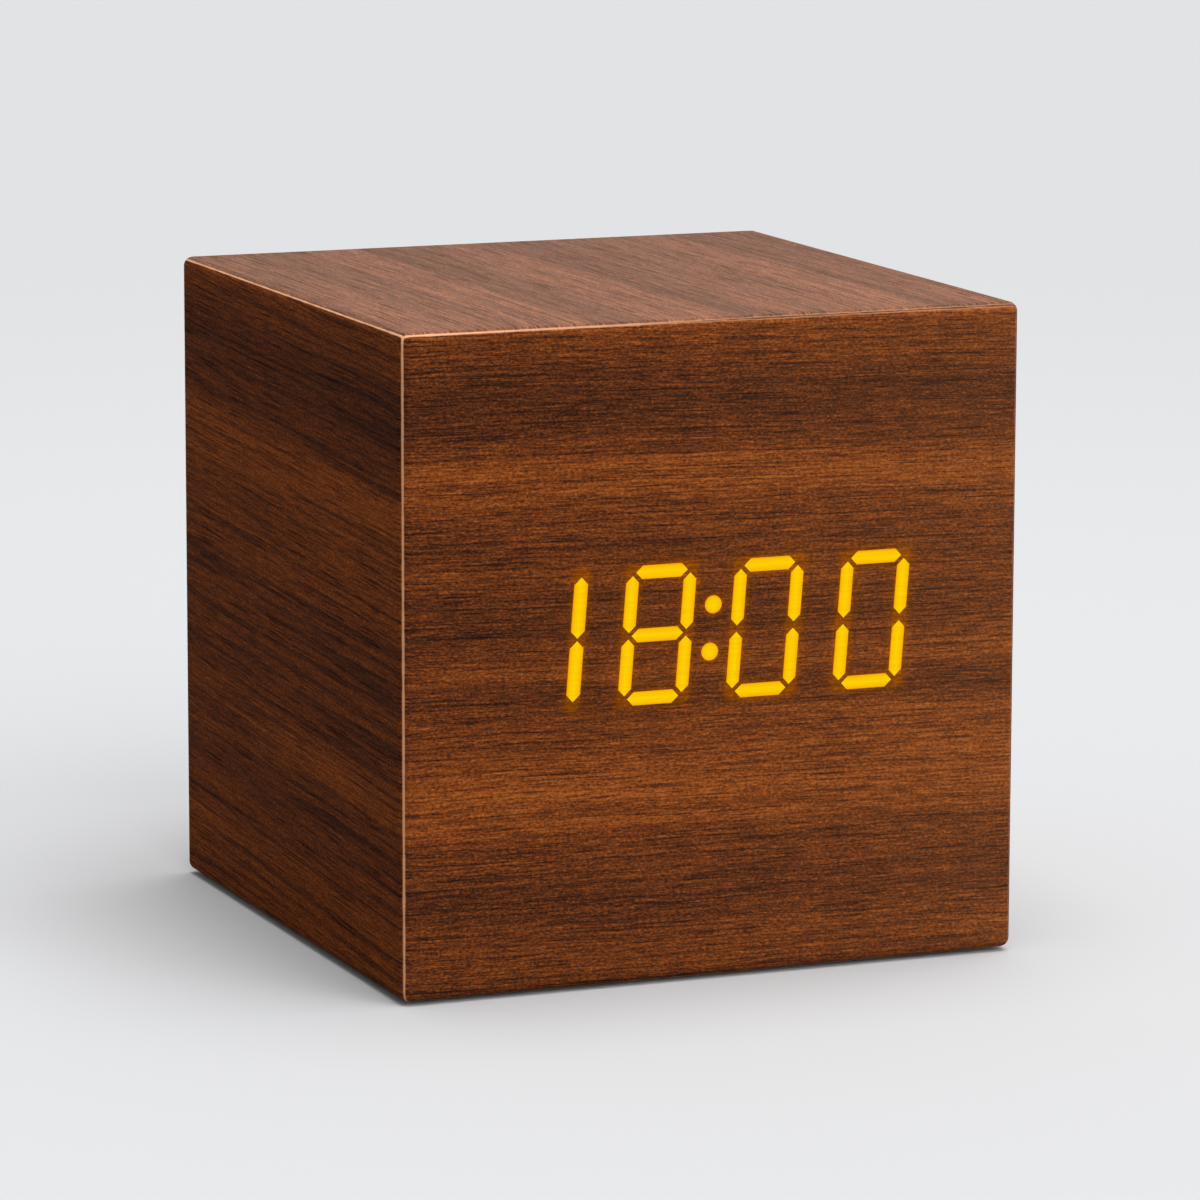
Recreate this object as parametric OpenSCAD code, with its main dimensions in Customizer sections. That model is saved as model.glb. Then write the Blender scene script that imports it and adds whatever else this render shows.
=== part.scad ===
// Cube alarm clock whose LED digits shine through a wood veneer front.
// A veneered fibreboard case holds the display behind its front, the controls in its back and
// the batteries in a plastic base. The front faces -Y, +Z is up, and the origin lies on the
// table under the middle of the cube. All sizes are in millimetres.

/* [Case] */
// Edge length of the wooden cube
cube_side = 68; // [66:1:80]
// Thickness of the fibreboard panels
board_t = 3.2; // [3:0.1:4]
// Thickness of the wood veneer
veneer_t = 0.8; // [0.6:0.05:1]
// Rounding of the outer edges
edge_r = 1; // [0.3:0.05:1.1]
// Gap between the case and the table
table_gap = 0.4; // [0.3:0.1:2]

/* [Display] */
// Hours shown
shown_hours = 18; // [0:1:23]
// Minutes shown
shown_minutes = 0; // [0:1:59]
// Height of a digit, between the middles of its top and bottom segments
digit_h = 12.95; // [11.5:0.05:13.5]
// Width of a digit, between the middles of its upright segments
digit_w = 6.3; // [5.6:0.05:6.8]
// Spacing of the digits
digit_pitch = 11.9; // [11.4:0.05:12.5]
// Width of a segment
stroke_w = 1.4; // [1:0.05:1.7]
// Width of the first digit's right-hand segments
lead_stroke_w = 1.5; // [1:0.05:1.7]
// Distance from a digit's corner points to the tips of the segments
tip_gap = 0.33; // [0.2:0.01:0.5]
// The same distance at the first digit's right-hand segments
lead_tip_gap = 0.12; // [0.1:0.01:0.5]
// Lean of the digits in degrees
digit_slant = 4.4; // [0:0.2:8]
// Radius of the colon's dots
colon_r = 0.93; // [0.6:0.01:1.1]
// Spacing of the colon's dots
colon_pitch = 4.85; // [3.5:0.05:6]
// Height of the colon's middle above the digits' middle
colon_rise = 0.25; // [0:0.05:1]
// Height of the display's middle above the cube's middle
display_rise = 2; // [1:0.1:4]
// Sideways place of the display's middle
display_shift = -0.4; // [-1:0.1:1]
// Thickness of the veneer left in front of a segment
skin_t = 0.2; // [0.15:0.01:0.3]

/* [Light box] */
// Depth of the reflector block
reflector_d = 7; // [5:0.1:8]
// Rim of the reflector around the digits
reflector_rim = 1.8; // [1.2:0.1:2.5]
// Length of the light guides inside the reflector
guide_l = 3; // [2:0.1:3.6]
// Clearance around a light guide
guide_fit = 0.04; // [0.02:0.01:0.08]
// Clearance of the reflector in its window
window_fit = 0.3; // [0.2:0.05:0.5]
// Length of an LED chip
led_l = 1.6; // [1:0.1:2]
// Width of an LED chip
led_w = 0.8; // [0.5:0.1:0.8]
// Height of an LED chip
led_h = 0.7; // [0.5:0.1:1]

/* [Display board] */
// Thickness of the display board
main_t = 1.6; // [1:0.1:2]
// Gap between the display board and the side panels
main_gap = 3; // [2:0.1:5]
// Height of the display board beyond the reflector above and below
main_edge = 9; // [8:0.1:9.5]
// Radius of the board spacers
spacer_r = 2.5; // [2.2:0.1:2.8]
// Radius of the display board's screws
main_screw_r = 1; // [0.8:0.05:1.2]
// Depth of the display board's screws in the front panel
main_screw_hold = 2.6; // [2:0.1:2.7]
// Clearance of a screw in a through hole
hole_fit = 0.12; // [0.1:0.01:0.2]
// Clearance of a screw in its pilot hole
pilot_fit = 0.05; // [0.03:0.01:0.08]
// Corner radius of the circuit boards
corner_r = 1.2; // [0.5:0.1:2]
// Sideways place of the clock chip
chip_x = -8; // [-11:0.5:-6]
// Height of the clock chip above the display's middle
chip_z = 6; // [5:0.5:8]
// Length of the clock chip
chip_l = 17.9; // [17.5:0.1:19]
// Width of the clock chip
chip_w = 7.5; // [6:0.1:8]
// Height of the clock chip
chip_h = 2.3; // [1.5:0.1:3]
// Sideways place of the crystal
crystal_x = -8; // [-12:0.5:-7]
// Height of the crystal below the display's middle
crystal_drop = 5; // [4:0.5:6]
// Length of the crystal can
crystal_l = 11; // [9:0.1:11.5]
// Width of the crystal can
crystal_w = 4.6; // [4:0.1:5]
// Height of the crystal can
crystal_h = 3.5; // [3:0.1:5]
// Sideways place of the capacitors' middle
capacitor_x = -7; // [-8:0.5:-6]
// Spacing of the capacitors
capacitor_pitch = 8; // [7:0.5:9]
// Height of the capacitors below the display's middle
capacitor_drop = 12.5; // [11.5:0.5:14]
// Radius of a capacitor
capacitor_r = 3; // [2:0.1:3.2]
// Height of a capacitor
capacitor_h = 7.7; // [5:0.1:11]
// Sideways place of the buzzer
buzzer_x = 16; // [14:0.5:18]
// Height of the buzzer above the display's middle
buzzer_z = 3; // [2:0.5:5]
// Radius of the buzzer
buzzer_r = 6; // [4.5:0.1:6.2]
// Height of the buzzer
buzzer_h = 8.5; // [6:0.1:10]

/* [Control panel] */
// Width of the cut-out in the back
panel_w = 46; // [45.4:0.1:48]
// Height of the cut-out in the back
panel_h = 12; // [11:0.1:13]
// Corner radius of the cut-out
panel_r = 2.5; // [2.2:0.1:4]
// Height of the control panel's middle above the case's lower edge
panel_rise = 29; // [28.5:0.5:38]
// Clearance of the bezel in the cut-out
panel_fit = 0.2; // [0.1:0.05:0.3]
// Depth of the bezel's face below the back
panel_sink = 1.2; // [1:0.1:1.5]
// Thickness of the bezel's face
bezel_t = 1.8; // [1.5:0.1:2]
// Thickness of the bezel's side walls
bezel_wall = 1.3; // [1:0.1:1.5]
// Thickness of the bezel's flange
flange_t = 1.5; // [1.2:0.1:2]
// Width of the flange around the cut-out
flange_edge = 4.6; // [4.4:0.1:4.8]
// Radius of the bosses for the control board
boss_r = 2.3; // [2:0.1:2.4]
// Radius of the small screws
small_screw_r = 0.8; // [0.7:0.05:0.9]

/* [Buttons] */
// Width of a button
button_w = 6.4; // [5:0.1:6.8]
// Height of a button
button_h = 3.8; // [3.2:0.1:4.2]
// Clearance of a button in its hole
button_fit = 0.15; // [0.1:0.01:0.2]
// Height of a button above the bezel's face
button_proud = 0.8; // [0.5:0.1:0.9]
// Bevel around a button's face
button_edge = 0.3; // [0.1:0.05:0.4]
// Width of a button's rim behind the bezel
button_lip = 0.8; // [0.5:0.1:0.9]
// Thickness of a button's rim
button_rim_t = 0.8; // [0.6:0.1:1]
// Radius of a button's stem
stem_r = 1.5; // [1.2:0.1:1.6]
// Length of a button's stem
stem_l = 1.6; // [1.2:0.1:2.5]
// Travel of a button
button_travel = 0.5; // [0.3:0.05:0.6]
// Depth of the marks in the buttons
mark_d = 0.2; // [0.1:0.05:0.3]
// Size of the marks in the buttons
mark_size = 1.8; // [1.2:0.1:2.2]

/* [Control board] */
// Thickness of the control board
control_t = 1.2; // [1:0.1:1.6]
// Height of the control board
control_h = 11; // [10:0.1:12]
// Side of a switch body
switch_w = 6; // [5:0.1:6.2]
// Height of a switch body
switch_h = 3.5; // [3:0.1:4]
// Radius of a switch plunger
plunger_r = 1.7; // [1.4:0.05:1.8]
// Length of a plunger inside its switch
plunger_in = 1; // [0.8:0.1:1.2]
// Height of a plunger above its switch
plunger_out = 1; // [0.8:0.1:1.4]
// Clearance of a plunger in its switch
plunger_fit = 0.15; // [0.1:0.01:0.2]
// Width of the power socket
usb_w = 7.5; // [7.2:0.1:7.7]
// Height of the power socket
usb_h = 2.8; // [2.6:0.1:3]
// Corner cut of the power socket
usb_cut = 1.1; // [0.9:0.1:1.3]
// Sheet thickness of the power socket
usb_t = 0.3; // [0.25:0.01:0.35]
// Depth of the power socket
usb_d = 5.5; // [5:0.1:6]
// Width of the tongue in the power socket
usb_tongue_w = 4; // [3:0.1:4.2]
// Clearance of the socket in the bezel
usb_fit = 0.25; // [0.2:0.01:0.3]
// Radius of the microphone
mic_r = 2; // [1.5:0.1:2.2]
// Height of the microphone
mic_h = 1.6; // [1:0.1:2.5]
// Radius of the microphone's hole in the bezel
mic_hole_r = 0.6; // [0.4:0.05:0.8]

/* [Ribbon cable] */
// Sideways place of the ribbon cable
ribbon_x = 6; // [4:0.5:9]
// Width of the ribbon cable
ribbon_w = 7.6; // [5:0.1:8.5]
// Thickness of the ribbon cable
ribbon_t = 0.9; // [0.6:0.1:1.2]
// Sag of the ribbon cable
ribbon_sag = 4; // [0:0.5:6]
// Width of a ribbon header
header_w = 10; // [9:0.1:11]
// Height of a ribbon header
header_h = 4; // [3:0.1:4.5]
// Depth of a ribbon header
header_d = 4.5; // [3:0.1:6]

/* [Base] */
// Thickness of the base plate
plate_t = 2.4; // [2.3:0.1:3]
// Depth of the base plate above the case's lower edge
plate_sink = 0.3; // [0.1:0.1:0.5]
// Clearance of the base plate in the case
plate_fit = 0.2; // [0.1:0.05:0.3]
// Radius of the feet
foot_r = 4; // [3:0.1:4.3]
// Depth of a foot in the base plate
foot_sink = 0.4; // [0.2:0.1:0.6]
// Distance of a foot's middle from the edge of the base plate
foot_inset = 5.2; // [4.6:0.1:5.4]
// Bevel around a foot's sole
foot_edge = 0.2; // [0.1:0.05:0.3]
// Clearance of a foot in its recess
foot_fit = 0.1; // [0.05:0.01:0.2]
// Length of a screw block
block_l = 10; // [8:0.5:11]
// Depth of a screw block
block_d = 8; // [7:0.1:8.5]
// Height of a screw block
block_h = 11; // [9:0.5:12]
// Sideways place of the screw blocks
block_x = 12; // [11.5:0.1:13]
// Radius of a base screw
base_screw_r = 1.3; // [1:0.05:1.5]
// Depth of a base screw in its block
base_screw_hold = 7; // [5:0.5:8]
// Radius of a base screw's head
base_head_r = 2.3; // [2:0.1:2.5]
// Height of a base screw's head
base_head_h = 1; // [0.7:0.1:1.1]
// Radius of the sound holes
sound_r = 0.6; // [0.4:0.05:0.8]
// Spacing of the sound holes
sound_pitch = 2.4; // [2:0.1:2.6]

/* [Battery bay] */
// Radius of a cell
cell_r = 5.25; // [5:0.05:5.3]
// Length of a cell with its button
cell_l = 44.5; // [43:0.1:45.5]
// Radius of a cell's button
nub_r = 1.9; // [1.5:0.1:2.2]
// Length of a cell's button
nub_l = 0.8; // [0.5:0.1:1.2]
// Spacing of the cells
cell_pitch = 11.2; // [11:0.05:11.6]
// Clearance around a cell in its saddles
cell_fit = 0.1; // [0.05:0.01:0.2]
// Clearance between a cell and the door
cell_gap = 0.4; // [0.3:0.05:0.6]
// Thickness of the bay's walls
bay_wall = 1.5; // [1.4:0.1:2]
// Thickness of a saddle
saddle_t = 1.4; // [1:0.1:2]
// Distance of the saddles from the bay's middle
saddle_x = 12; // [8:0.5:15]
// Thickness of the contact plates
contact_t = 0.4; // [0.3:0.05:0.5]
// Width of a contact plate
contact_w = 8.6; // [8.4:0.1:9]
// Height of a contact plate
contact_h = 9; // [8.4:0.1:9.6]
// Width of a solder tab
tab_w = 3; // [2:0.1:4]
// Height of a solder tab above the bay
tab_rise = 1.6; // [1:0.1:2.5]
// Clearance of a solder tab in its slot
tab_fit = 0.2; // [0.1:0.05:0.3]
// Space for a contact spring
spring_l = 4.3; // [4:0.1:5]
// Turns of a contact spring
spring_turns = 3; // [2:0.5:3]
// Wire radius of a contact spring
spring_wire_r = 0.3; // [0.2:0.05:0.35]
// Radius of a contact spring at its plate
spring_base_r = 3.7; // [3:0.1:4]
// Radius of a contact spring at its cell
spring_tip_r = 2.1; // [1.8:0.1:2.4]
// Clearance at the ends of a contact spring
spring_seat = 0.05; // [0.03:0.01:0.1]
// Radius of a battery lead
lead_r = 0.6; // [0.4:0.05:0.7]
// Sideways place of the leads' ends on the display board
lead_x = 17; // [15:0.5:18]

/* [Battery door] */
// Thickness of the battery door
door_t = 2; // [1.8:0.05:2.05]
// Clearance around the door
door_fit = 0.2; // [0.15:0.01:0.25]
// Clearance between the door and the ledge above it
door_lift = 0.1; // [0.05:0.01:0.15]
// Width of the ledge that the door closes on
ledge_w = 1.2; // [0.8:0.1:1.3]
// Radius of a hinge pin
pin_r = 0.5; // [0.4:0.05:0.6]
// Length of a hinge pin
pin_l = 1.5; // [1:0.1:1.8]
// Clearance of a hinge pin in its socket
pin_fit = 0.06; // [0.04:0.01:0.08]
// Width of the latch tongue
latch_w = 9; // [7:0.5:10]
// Length of the latch tongue
latch_l = 7; // [5:0.5:8]
// Width of the slits beside the latch tongue
latch_slit = 0.8; // [0.6:0.1:1]
// Height of the latch bead beyond the door's edge
latch_proud = 0.12; // [0.08:0.01:0.14]
// Radius of the latch bead
latch_r = 0.45; // [0.4:0.05:0.5]
// Radius of the finger notch at the door
notch_r = 6; // [5:0.5:6.5]
// Depth of the finger notch
notch_d = 1.1; // [0.8:0.1:1.2]
// Count of the grip grooves in the door
grip_count = 4; // [2:1:5]
// Spacing of the grip grooves
grip_pitch = 1.3; // [1.1:0.1:1.5]
// Depth of the grip grooves
grip_d = 0.4; // [0.2:0.1:0.6]

/* [Hidden] */
$fn = 64;
eps = 1;
half = cube_side / 2;
wall = board_t + veneer_t;
inner = half - wall;
case_z0 = table_gap;
case_z1 = case_z0 + cube_side;
round_r = min(edge_r, 1.4 * veneer_t);

// Segments a to g of a digit: middle across, middle up, and 1 where the segment is upright
segments = [
    [0, digit_h / 2, 0],
    [digit_w / 2, digit_h / 4, 1],
    [digit_w / 2, -digit_h / 4, 1],
    [0, -digit_h / 2, 0],
    [-digit_w / 2, -digit_h / 4, 1],
    [-digit_w / 2, digit_h / 4, 1],
    [0, 0, 0],
];
// Segments lit for the figures 0 to 9
figures = ["abcdef", "bc", "abdeg", "abcdg", "bcfg", "acdfg", "acdefg", "abc", "abcdefg", "abcdfg"];
shown = [floor(shown_hours / 10), shown_hours % 10, floor(shown_minutes / 10), shown_minutes % 10];
display_z = case_z0 + half + display_rise;

// Light box, from the veneer inwards
veneer_y = -half + veneer_t;
skin_y = -half + skin_t;
main_front_y = veneer_y + reflector_d;
main_rear_y = main_front_y + main_t;
lean = digit_h / 2 * tan(digit_slant);
reflector_w = 3 * digit_pitch + digit_w + stroke_w + 2 * (lean + reflector_rim);
reflector_h = digit_h + stroke_w + 2 * reflector_rim;
main_w = 2 * (inner - main_gap);
main_h = reflector_h + 2 * main_edge;
spacer_x = main_w / 2 - spacer_r;
spacer_z = reflector_h / 2 + window_fit + spacer_r + 1;
main_head_r = 1.9 * main_screw_r;
main_head_h = 1.3 * main_screw_r;
lead_z = display_z - spacer_z;

// Control panel, from the back inwards
panel_z = case_z0 + panel_rise;
face_y = half - panel_sink;
face_in_y = face_y - bezel_t;
flange_y = inner - flange_t;
plunger_tip_y = face_in_y - button_rim_t - stem_l;
control_y = plunger_tip_y - plunger_out - switch_h;
control_in_y = control_y - control_t;
plug_w = panel_w - 2 * panel_fit;
plug_h = panel_h - 2 * panel_fit;
plug_r = panel_r - panel_fit;
flange_w = panel_w + 2 * flange_edge;
flange_h = panel_h + 2 * flange_edge;
boss_x = panel_w / 2 + boss_r;
control_w = 2 * (boss_x + boss_r);
small_head_r = 1.9 * small_screw_r;
small_head_h = 1.4 * small_screw_r;
bezel_screw_z = panel_h / 2 + flange_edge / 2;
bezel_screw_hold = board_t - 0.7;
control_screw_hold = flange_y - control_y - 0.6;
pocket_w = plug_w - 2 * bezel_wall;
pocket_h = plug_h - 2 * bezel_wall;
// The buttons, the microphone and the socket stand in a row with even gaps
rim_w = button_w + 2 * button_lip;
row_gap = (pocket_w - 3 * rim_w - 2 * mic_r - usb_w) / 6;
set_x = pocket_w / 2 - row_gap - rim_w / 2;
up_x = set_x - rim_w - row_gap;
down_x = up_x - rim_w - row_gap;
mic_x = down_x - rim_w / 2 - row_gap - mic_r;
usb_x = mic_x - mic_r - row_gap - usb_w / 2;
usb_mouth_y = face_y - 0.4;

// Base and battery bay, from the table upwards
plate_half = inner - plate_fit;
plate_z0 = case_z0 + plate_sink;
plate_z1 = plate_z0 + plate_t;
door_z1 = plate_z0 + door_t;
ledge_z = door_z1 + door_lift;
cell_z = door_z1 + cell_gap + cell_r;
ceiling_z = cell_z + cell_r + cell_fit;
bay_z1 = ceiling_z + bay_wall;
bay_l = cell_l + spring_l + 2 * contact_t;
bay_w = 3 * cell_pitch;
opening_l = bay_l + 2 * ledge_w;
opening_w = bay_w + 2 * ledge_w;
hinge_y = opening_w / 2 - door_fit - door_t / 2;
hinge_z = plate_z0 + door_t / 2;
door_front_y = -opening_w / 2 + door_fit;
door_half_l = opening_l / 2 - door_fit;
latch_y = door_front_y + latch_r - latch_proud;
latch_z = door_z1 - latch_r - 0.15;
foot_x = plate_half - foot_inset;
block_y = inner - block_d / 2;
tab_x = bay_l / 2 - contact_t / 2;
tab_z = bay_z1 + tab_rise;
ribbon_y0 = main_rear_y + header_h;
ribbon_y1 = control_in_y - header_h;

// Piece to draw, or all of them

// Extrudes a flat outline, drawn as seen from the front, between two depths
module depth(y0, y1) {
    translate([0, y1, 0]) rotate([90, 0, 0]) linear_extrude(y1 - y0) children();
}

// Rectangle with round corners
module round_rect(w, h, r) {
    square([w - 2 * r, h], center = true);
    square([w, h - 2 * r], center = true);
    for (x = [-1, 1], z = [-1, 1]) translate([x * (w / 2 - r), z * (h / 2 - r)]) circle(r);
}

// Rectangle with half-round ends
module obround(w, h) {
    square([w - h, h], center = true);
    for (x = [-1, 1]) translate([x * (w - h) / 2, 0]) circle(h / 2);
}

// Layer with half-round ends that narrows upwards by its own thickness
module obround_crown(w, h, t) {
    for (x = [-1, 1]) translate([x * (w - h) / 2, 0, 0]) cylinder(r1 = h / 2, r2 = h / 2 - t, h = t);
    translate([(h - w) / 2, 0, 0])
        rotate([90, 0, 90]) linear_extrude(w - h)
            polygon([[-h / 2, 0], [h / 2, 0], [h / 2 - t, t], [t - h / 2, t]]);
}

// Puts a part on a face that looks to +Y, so that its own up points backwards
module facing_back(x, y, z) {
    translate([x, y, z]) rotate([-90, 0, 0]) children();
}

// Puts a part on a face that looks to -Y, so that its own up points forwards
module facing_front(x, y, z) {
    translate([x, y, z]) rotate([90, 0, 0]) children();
}

// Screw with a cross recess, driven upwards, with the underside of its head at zero
module screw(r, l, head_r, head_h) {
    difference() {
        union() {
            translate([0, 0, -head_h]) cylinder(r = head_r, h = head_h);
            cylinder(r = r, h = l);
        }
        for (a = [0, 90])
            rotate([0, 0, a])
                translate([-head_r * 0.6, -head_r * 0.12, -head_h - eps])
                    cube([head_r * 1.2, head_r * 0.24, eps + head_h * 0.5]);
    }
}

// Case

// Large block on the +X side of a plane through the origin
module beyond() {
    translate([0, -2 * cube_side, -2 * cube_side])
        cube([2 * cube_side, 4 * cube_side, 4 * cube_side]);
}

// Layer of the front between two depths, mitred to the sides and the top
module front_layer(d0, d1) {
    difference() {
        translate([-half, d0 - half, case_z0]) cube([cube_side, d1 - d0, cube_side]);
        translate([-half, -half, 0]) rotate([0, 0, 135]) beyond();
        translate([half, -half, 0]) rotate([0, 0, 45]) beyond();
        translate([0, -half, case_z1]) rotate([0, -45, 90]) beyond();
    }
}

// Layer of the top between two depths, mitred on all four sides
module top_layer(d0, d1) {
    difference() {
        translate([-half, -half, case_z1 - d1]) cube([cube_side, cube_side, d1 - d0]);
        for (a = [0:90:270])
            rotate([0, 0, a]) translate([half, 0, case_z1]) rotate([0, 45, 0]) beyond();
    }
}

// What a ball-shaped corner takes off the place where three rounded edges meet
module corner_waste() {
    translate([1, 1, 1] * (half - round_r))
        difference() {
            cube(round_r + eps);
            rotate([90, 0, 225]) sphere(r = round_r);
        }
}

// The cube with its outer edges and corners rounded
module rounded_cube() {
    difference() {
        intersection() {
            translate([0, 0, case_z0]) linear_extrude(cube_side) round_rect(cube_side, cube_side, round_r);
            depth(-half, half) translate([0, case_z0 + half]) round_rect(cube_side, cube_side, round_r);
            translate([-half, 0, case_z0 + half])
                rotate([90, 0, 90]) linear_extrude(cube_side) round_rect(cube_side, cube_side, round_r);
        }
        for (a = [0:90:270], m = [0, 1])
            translate([0, 0, case_z0 + half]) mirror([0, 0, m]) rotate([0, 0, a]) corner_waste();
    }
}

// Opening for the control panel
module panel_cutout() {
    depth(inner - eps, half + eps) translate([0, panel_z]) round_rect(panel_w, panel_h, panel_r);
}

module front_veneer() {
    color("#5f351f")
        difference() {
            intersection() {
                front_layer(0, veneer_t);
                rounded_cube();
            }
            for (i = [0:3], k = [0:6])
                depth(is_lit(i, k) ? -half - eps : skin_y, veneer_y + eps) segment_2d(i, k, 0);
            depth(-half - eps, veneer_y + eps) colon_2d(0);
        }
}

module left_veneer() {
    color("#54301d")
        intersection() {
            rotate([0, 0, -90]) front_layer(0, veneer_t);
            rounded_cube();
        }
}

module right_veneer() {
    color("#54301d")
        intersection() {
            rotate([0, 0, 90]) front_layer(0, veneer_t);
            rounded_cube();
        }
}

module top_veneer() {
    color("#6a3f28")
        intersection() {
            top_layer(0, veneer_t);
            rounded_cube();
        }
}

module back_veneer() {
    color("#5f351f")
        difference() {
            intersection() {
                rotate([0, 0, 180]) front_layer(0, veneer_t);
                rounded_cube();
            }
            panel_cutout();
        }
}

module front_board() {
    color("#b48d5c")
        difference() {
            front_layer(veneer_t, wall);
            depth(-half, -inner + eps)
                translate([display_shift, display_z])
                    square([reflector_w + 2 * window_fit, reflector_h + 2 * window_fit], center = true);
            spacer_places() facing_front(0, -inner + eps, 0)
                cylinder(r = main_screw_r + pilot_fit, h = eps + main_screw_hold + 0.2);
        }
}

module back_board() {
    color("#b48d5c")
        difference() {
            rotate([0, 0, 180]) front_layer(veneer_t, wall);
            panel_cutout();
            bezel_screw_places() facing_back(0, inner - eps, 0)
                cylinder(r = small_screw_r + pilot_fit, h = eps + bezel_screw_hold + 0.2);
        }
}

module left_board() {
    color("#b48d5c") rotate([0, 0, -90]) front_layer(veneer_t, wall);
}

module right_board() {
    color("#b48d5c") rotate([0, 0, 90]) front_layer(veneer_t, wall);
}

module top_board() {
    color("#b48d5c") top_layer(veneer_t, wall);
}

// Places of the four base screws
module base_screw_places() {
    for (x = [-1, 1], y = [-1, 1]) translate([x * block_x, y * block_y, 0]) children();
}

module screw_blocks() {
    color("#c9a878")
        base_screw_places()
            difference() {
                translate([-block_l / 2, -block_d / 2, plate_z1]) cube([block_l, block_d, block_h]);
                translate([0, 0, plate_z1 - eps])
                    cylinder(r = base_screw_r + pilot_fit, h = eps + base_screw_hold + 0.5);
            }
}

// Display

function is_lit(i, k) = len(search("abcdefg"[k], figures[shown[i]])) > 0;

// Hexagon along the first axis, with its tips at both ends
function hexagon(l, s) = [[-l, 0], [s - l, s], [l - s, s], [l, 0], [l - s, -s], [s - l, -s]];

// Point of digit i, leaned over and put in its place on the front
function placed(i, p) = [
    display_shift + (i - 1.5) * digit_pitch + p[0] + p[1] * tan(digit_slant),
    display_z + p[1],
];

// The first digit's right-hand segments are a little bolder than the rest
function is_lead(i, k) = i == 0 && (k == 1 || k == 2);

// Outline of segment k of digit i, grown by some amount
function outline(i, k, grow) = let (
    seg = segments[k],
    s = (is_lead(i, k) ? lead_stroke_w : stroke_w) / 2 + grow,
    reach = seg[2] == 1 ? digit_h / 4 : digit_w / 2,
    l = reach - (is_lead(i, k) ? lead_tip_gap : tip_gap) + grow * sqrt(2)
) [
    for (p = hexagon(l, s))
        placed(i, seg[2] == 1 ? [seg[0] + p[1], seg[1] + p[0]] : [seg[0] + p[0], seg[1] + p[1]])
];

module segment_2d(i, k, grow) {
    polygon(outline(i, k, grow));
}

module colon_2d(grow) {
    for (side = [-1, 1]) translate(colon_place(side)) circle(colon_r + grow);
}

function colon_place(side) = placed(1.5, [0, colon_rise + side * colon_pitch / 2]);

module lit_digit(i) {
    color("#ffb000")
        for (k = [0:6]) if (is_lit(i, k)) depth(-half, skin_y) segment_2d(i, k, 0);
}

module lit_hour_tens() {
    lit_digit(0);
}

module lit_hour_units() {
    lit_digit(1);
}

module lit_colon() {
    color("#ffb000") depth(-half, skin_y) colon_2d(0);
}

module lit_minute_tens() {
    lit_digit(2);
}

module lit_minute_units() {
    lit_digit(3);
}

module display_reflector() {
    color("#eeeeea")
        difference() {
            depth(veneer_y, main_front_y)
                translate([display_shift, display_z]) square([reflector_w, reflector_h], center = true);
            for (i = [0:3], k = [0:6]) depth(veneer_y - eps, main_front_y + eps) segment_2d(i, k, 0);
            depth(veneer_y - eps, main_front_y + eps) colon_2d(0);
        }
}

module segment_guides() {
    color("#f4e3b0") {
        for (i = [0:3], k = [0:6]) depth(skin_y, veneer_y + guide_l) segment_2d(i, k, -guide_fit);
        depth(skin_y, veneer_y + guide_l) colon_2d(-guide_fit);
    }
}

module led_chips() {
    color("#f2d060") {
        for (i = [0:3], k = [0:6])
            depth(main_front_y - led_h, main_front_y)
                translate(placed(i, [segments[k][0], segments[k][1]]))
                    square(segments[k][2] == 1 ? [led_w, led_l] : [led_l, led_w], center = true);
        for (side = [-1, 1])
            depth(main_front_y - led_h, main_front_y)
                translate(colon_place(side)) square([led_w, led_w], center = true);
    }
}

// Places of the display board's four screws
module spacer_places() {
    for (x = [-1, 1], z = [-1, 1])
        translate([x * spacer_x, 0, display_z + z * spacer_z]) children();
}

module main_board() {
    color("#1d5b36")
        difference() {
            depth(main_front_y, main_rear_y)
                translate([0, display_z]) round_rect(main_w, main_h, corner_r);
            spacer_places() facing_back(0, main_front_y - eps, 0)
                cylinder(r = main_screw_r + hole_fit, h = main_t + 2 * eps);
        }
}

module board_spacers() {
    color("#2a2a2c")
        spacer_places() facing_back(0, -inner, 0)
            difference() {
                cylinder(r = spacer_r, h = main_front_y + inner);
                translate([0, 0, -eps])
                    cylinder(r = main_screw_r + hole_fit, h = main_front_y + inner + 2 * eps);
            }
}

module board_screws() {
    color("#a9abad")
        spacer_places() facing_front(0, main_rear_y, 0)
            screw(main_screw_r, main_rear_y + inner + main_screw_hold, main_head_r, main_head_h);
}

// Puts a part on the back of the display board, measured from the display's height
module on_main(x, z) {
    facing_back(x, main_rear_y, display_z + z) children();
}

module clock_chip() {
    color("#202022")
        on_main(chip_x, chip_z) {
            translate([-chip_l / 2, -chip_w / 2, 0.15]) cube([chip_l, chip_w, chip_h]);
            for (i = [-6.5:1:6.5])
                translate([i * 1.27 - 0.2, -chip_w / 2 - 1.4, 0]) cube([0.4, chip_w + 2.8, 0.4]);
        }
}

module crystal() {
    color("#b9bbbd")
        on_main(crystal_x, -crystal_drop) {
            linear_extrude(0.4) obround(crystal_l + 0.6, crystal_w + 0.6);
            linear_extrude(crystal_h) obround(crystal_l, crystal_w);
        }
}

module capacitors() {
    color("#3a4a66")
        for (side = [-1, 1])
            on_main(capacitor_x + side * capacitor_pitch / 2, -capacitor_drop) {
                translate([-capacitor_r, -capacitor_r, 0])
                    cube([2 * capacitor_r, 2 * capacitor_r, 1.2]);
                cylinder(r = capacitor_r - 0.15, h = capacitor_h);
            }
}

module buzzer() {
    color("#1a1a1b")
        on_main(buzzer_x, buzzer_z)
            difference() {
                cylinder(r = buzzer_r, h = buzzer_h);
                translate([0, 0, buzzer_h - 1.5]) cylinder(r = 1.1, h = 1.5 + eps);
            }
}

// Controls

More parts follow.
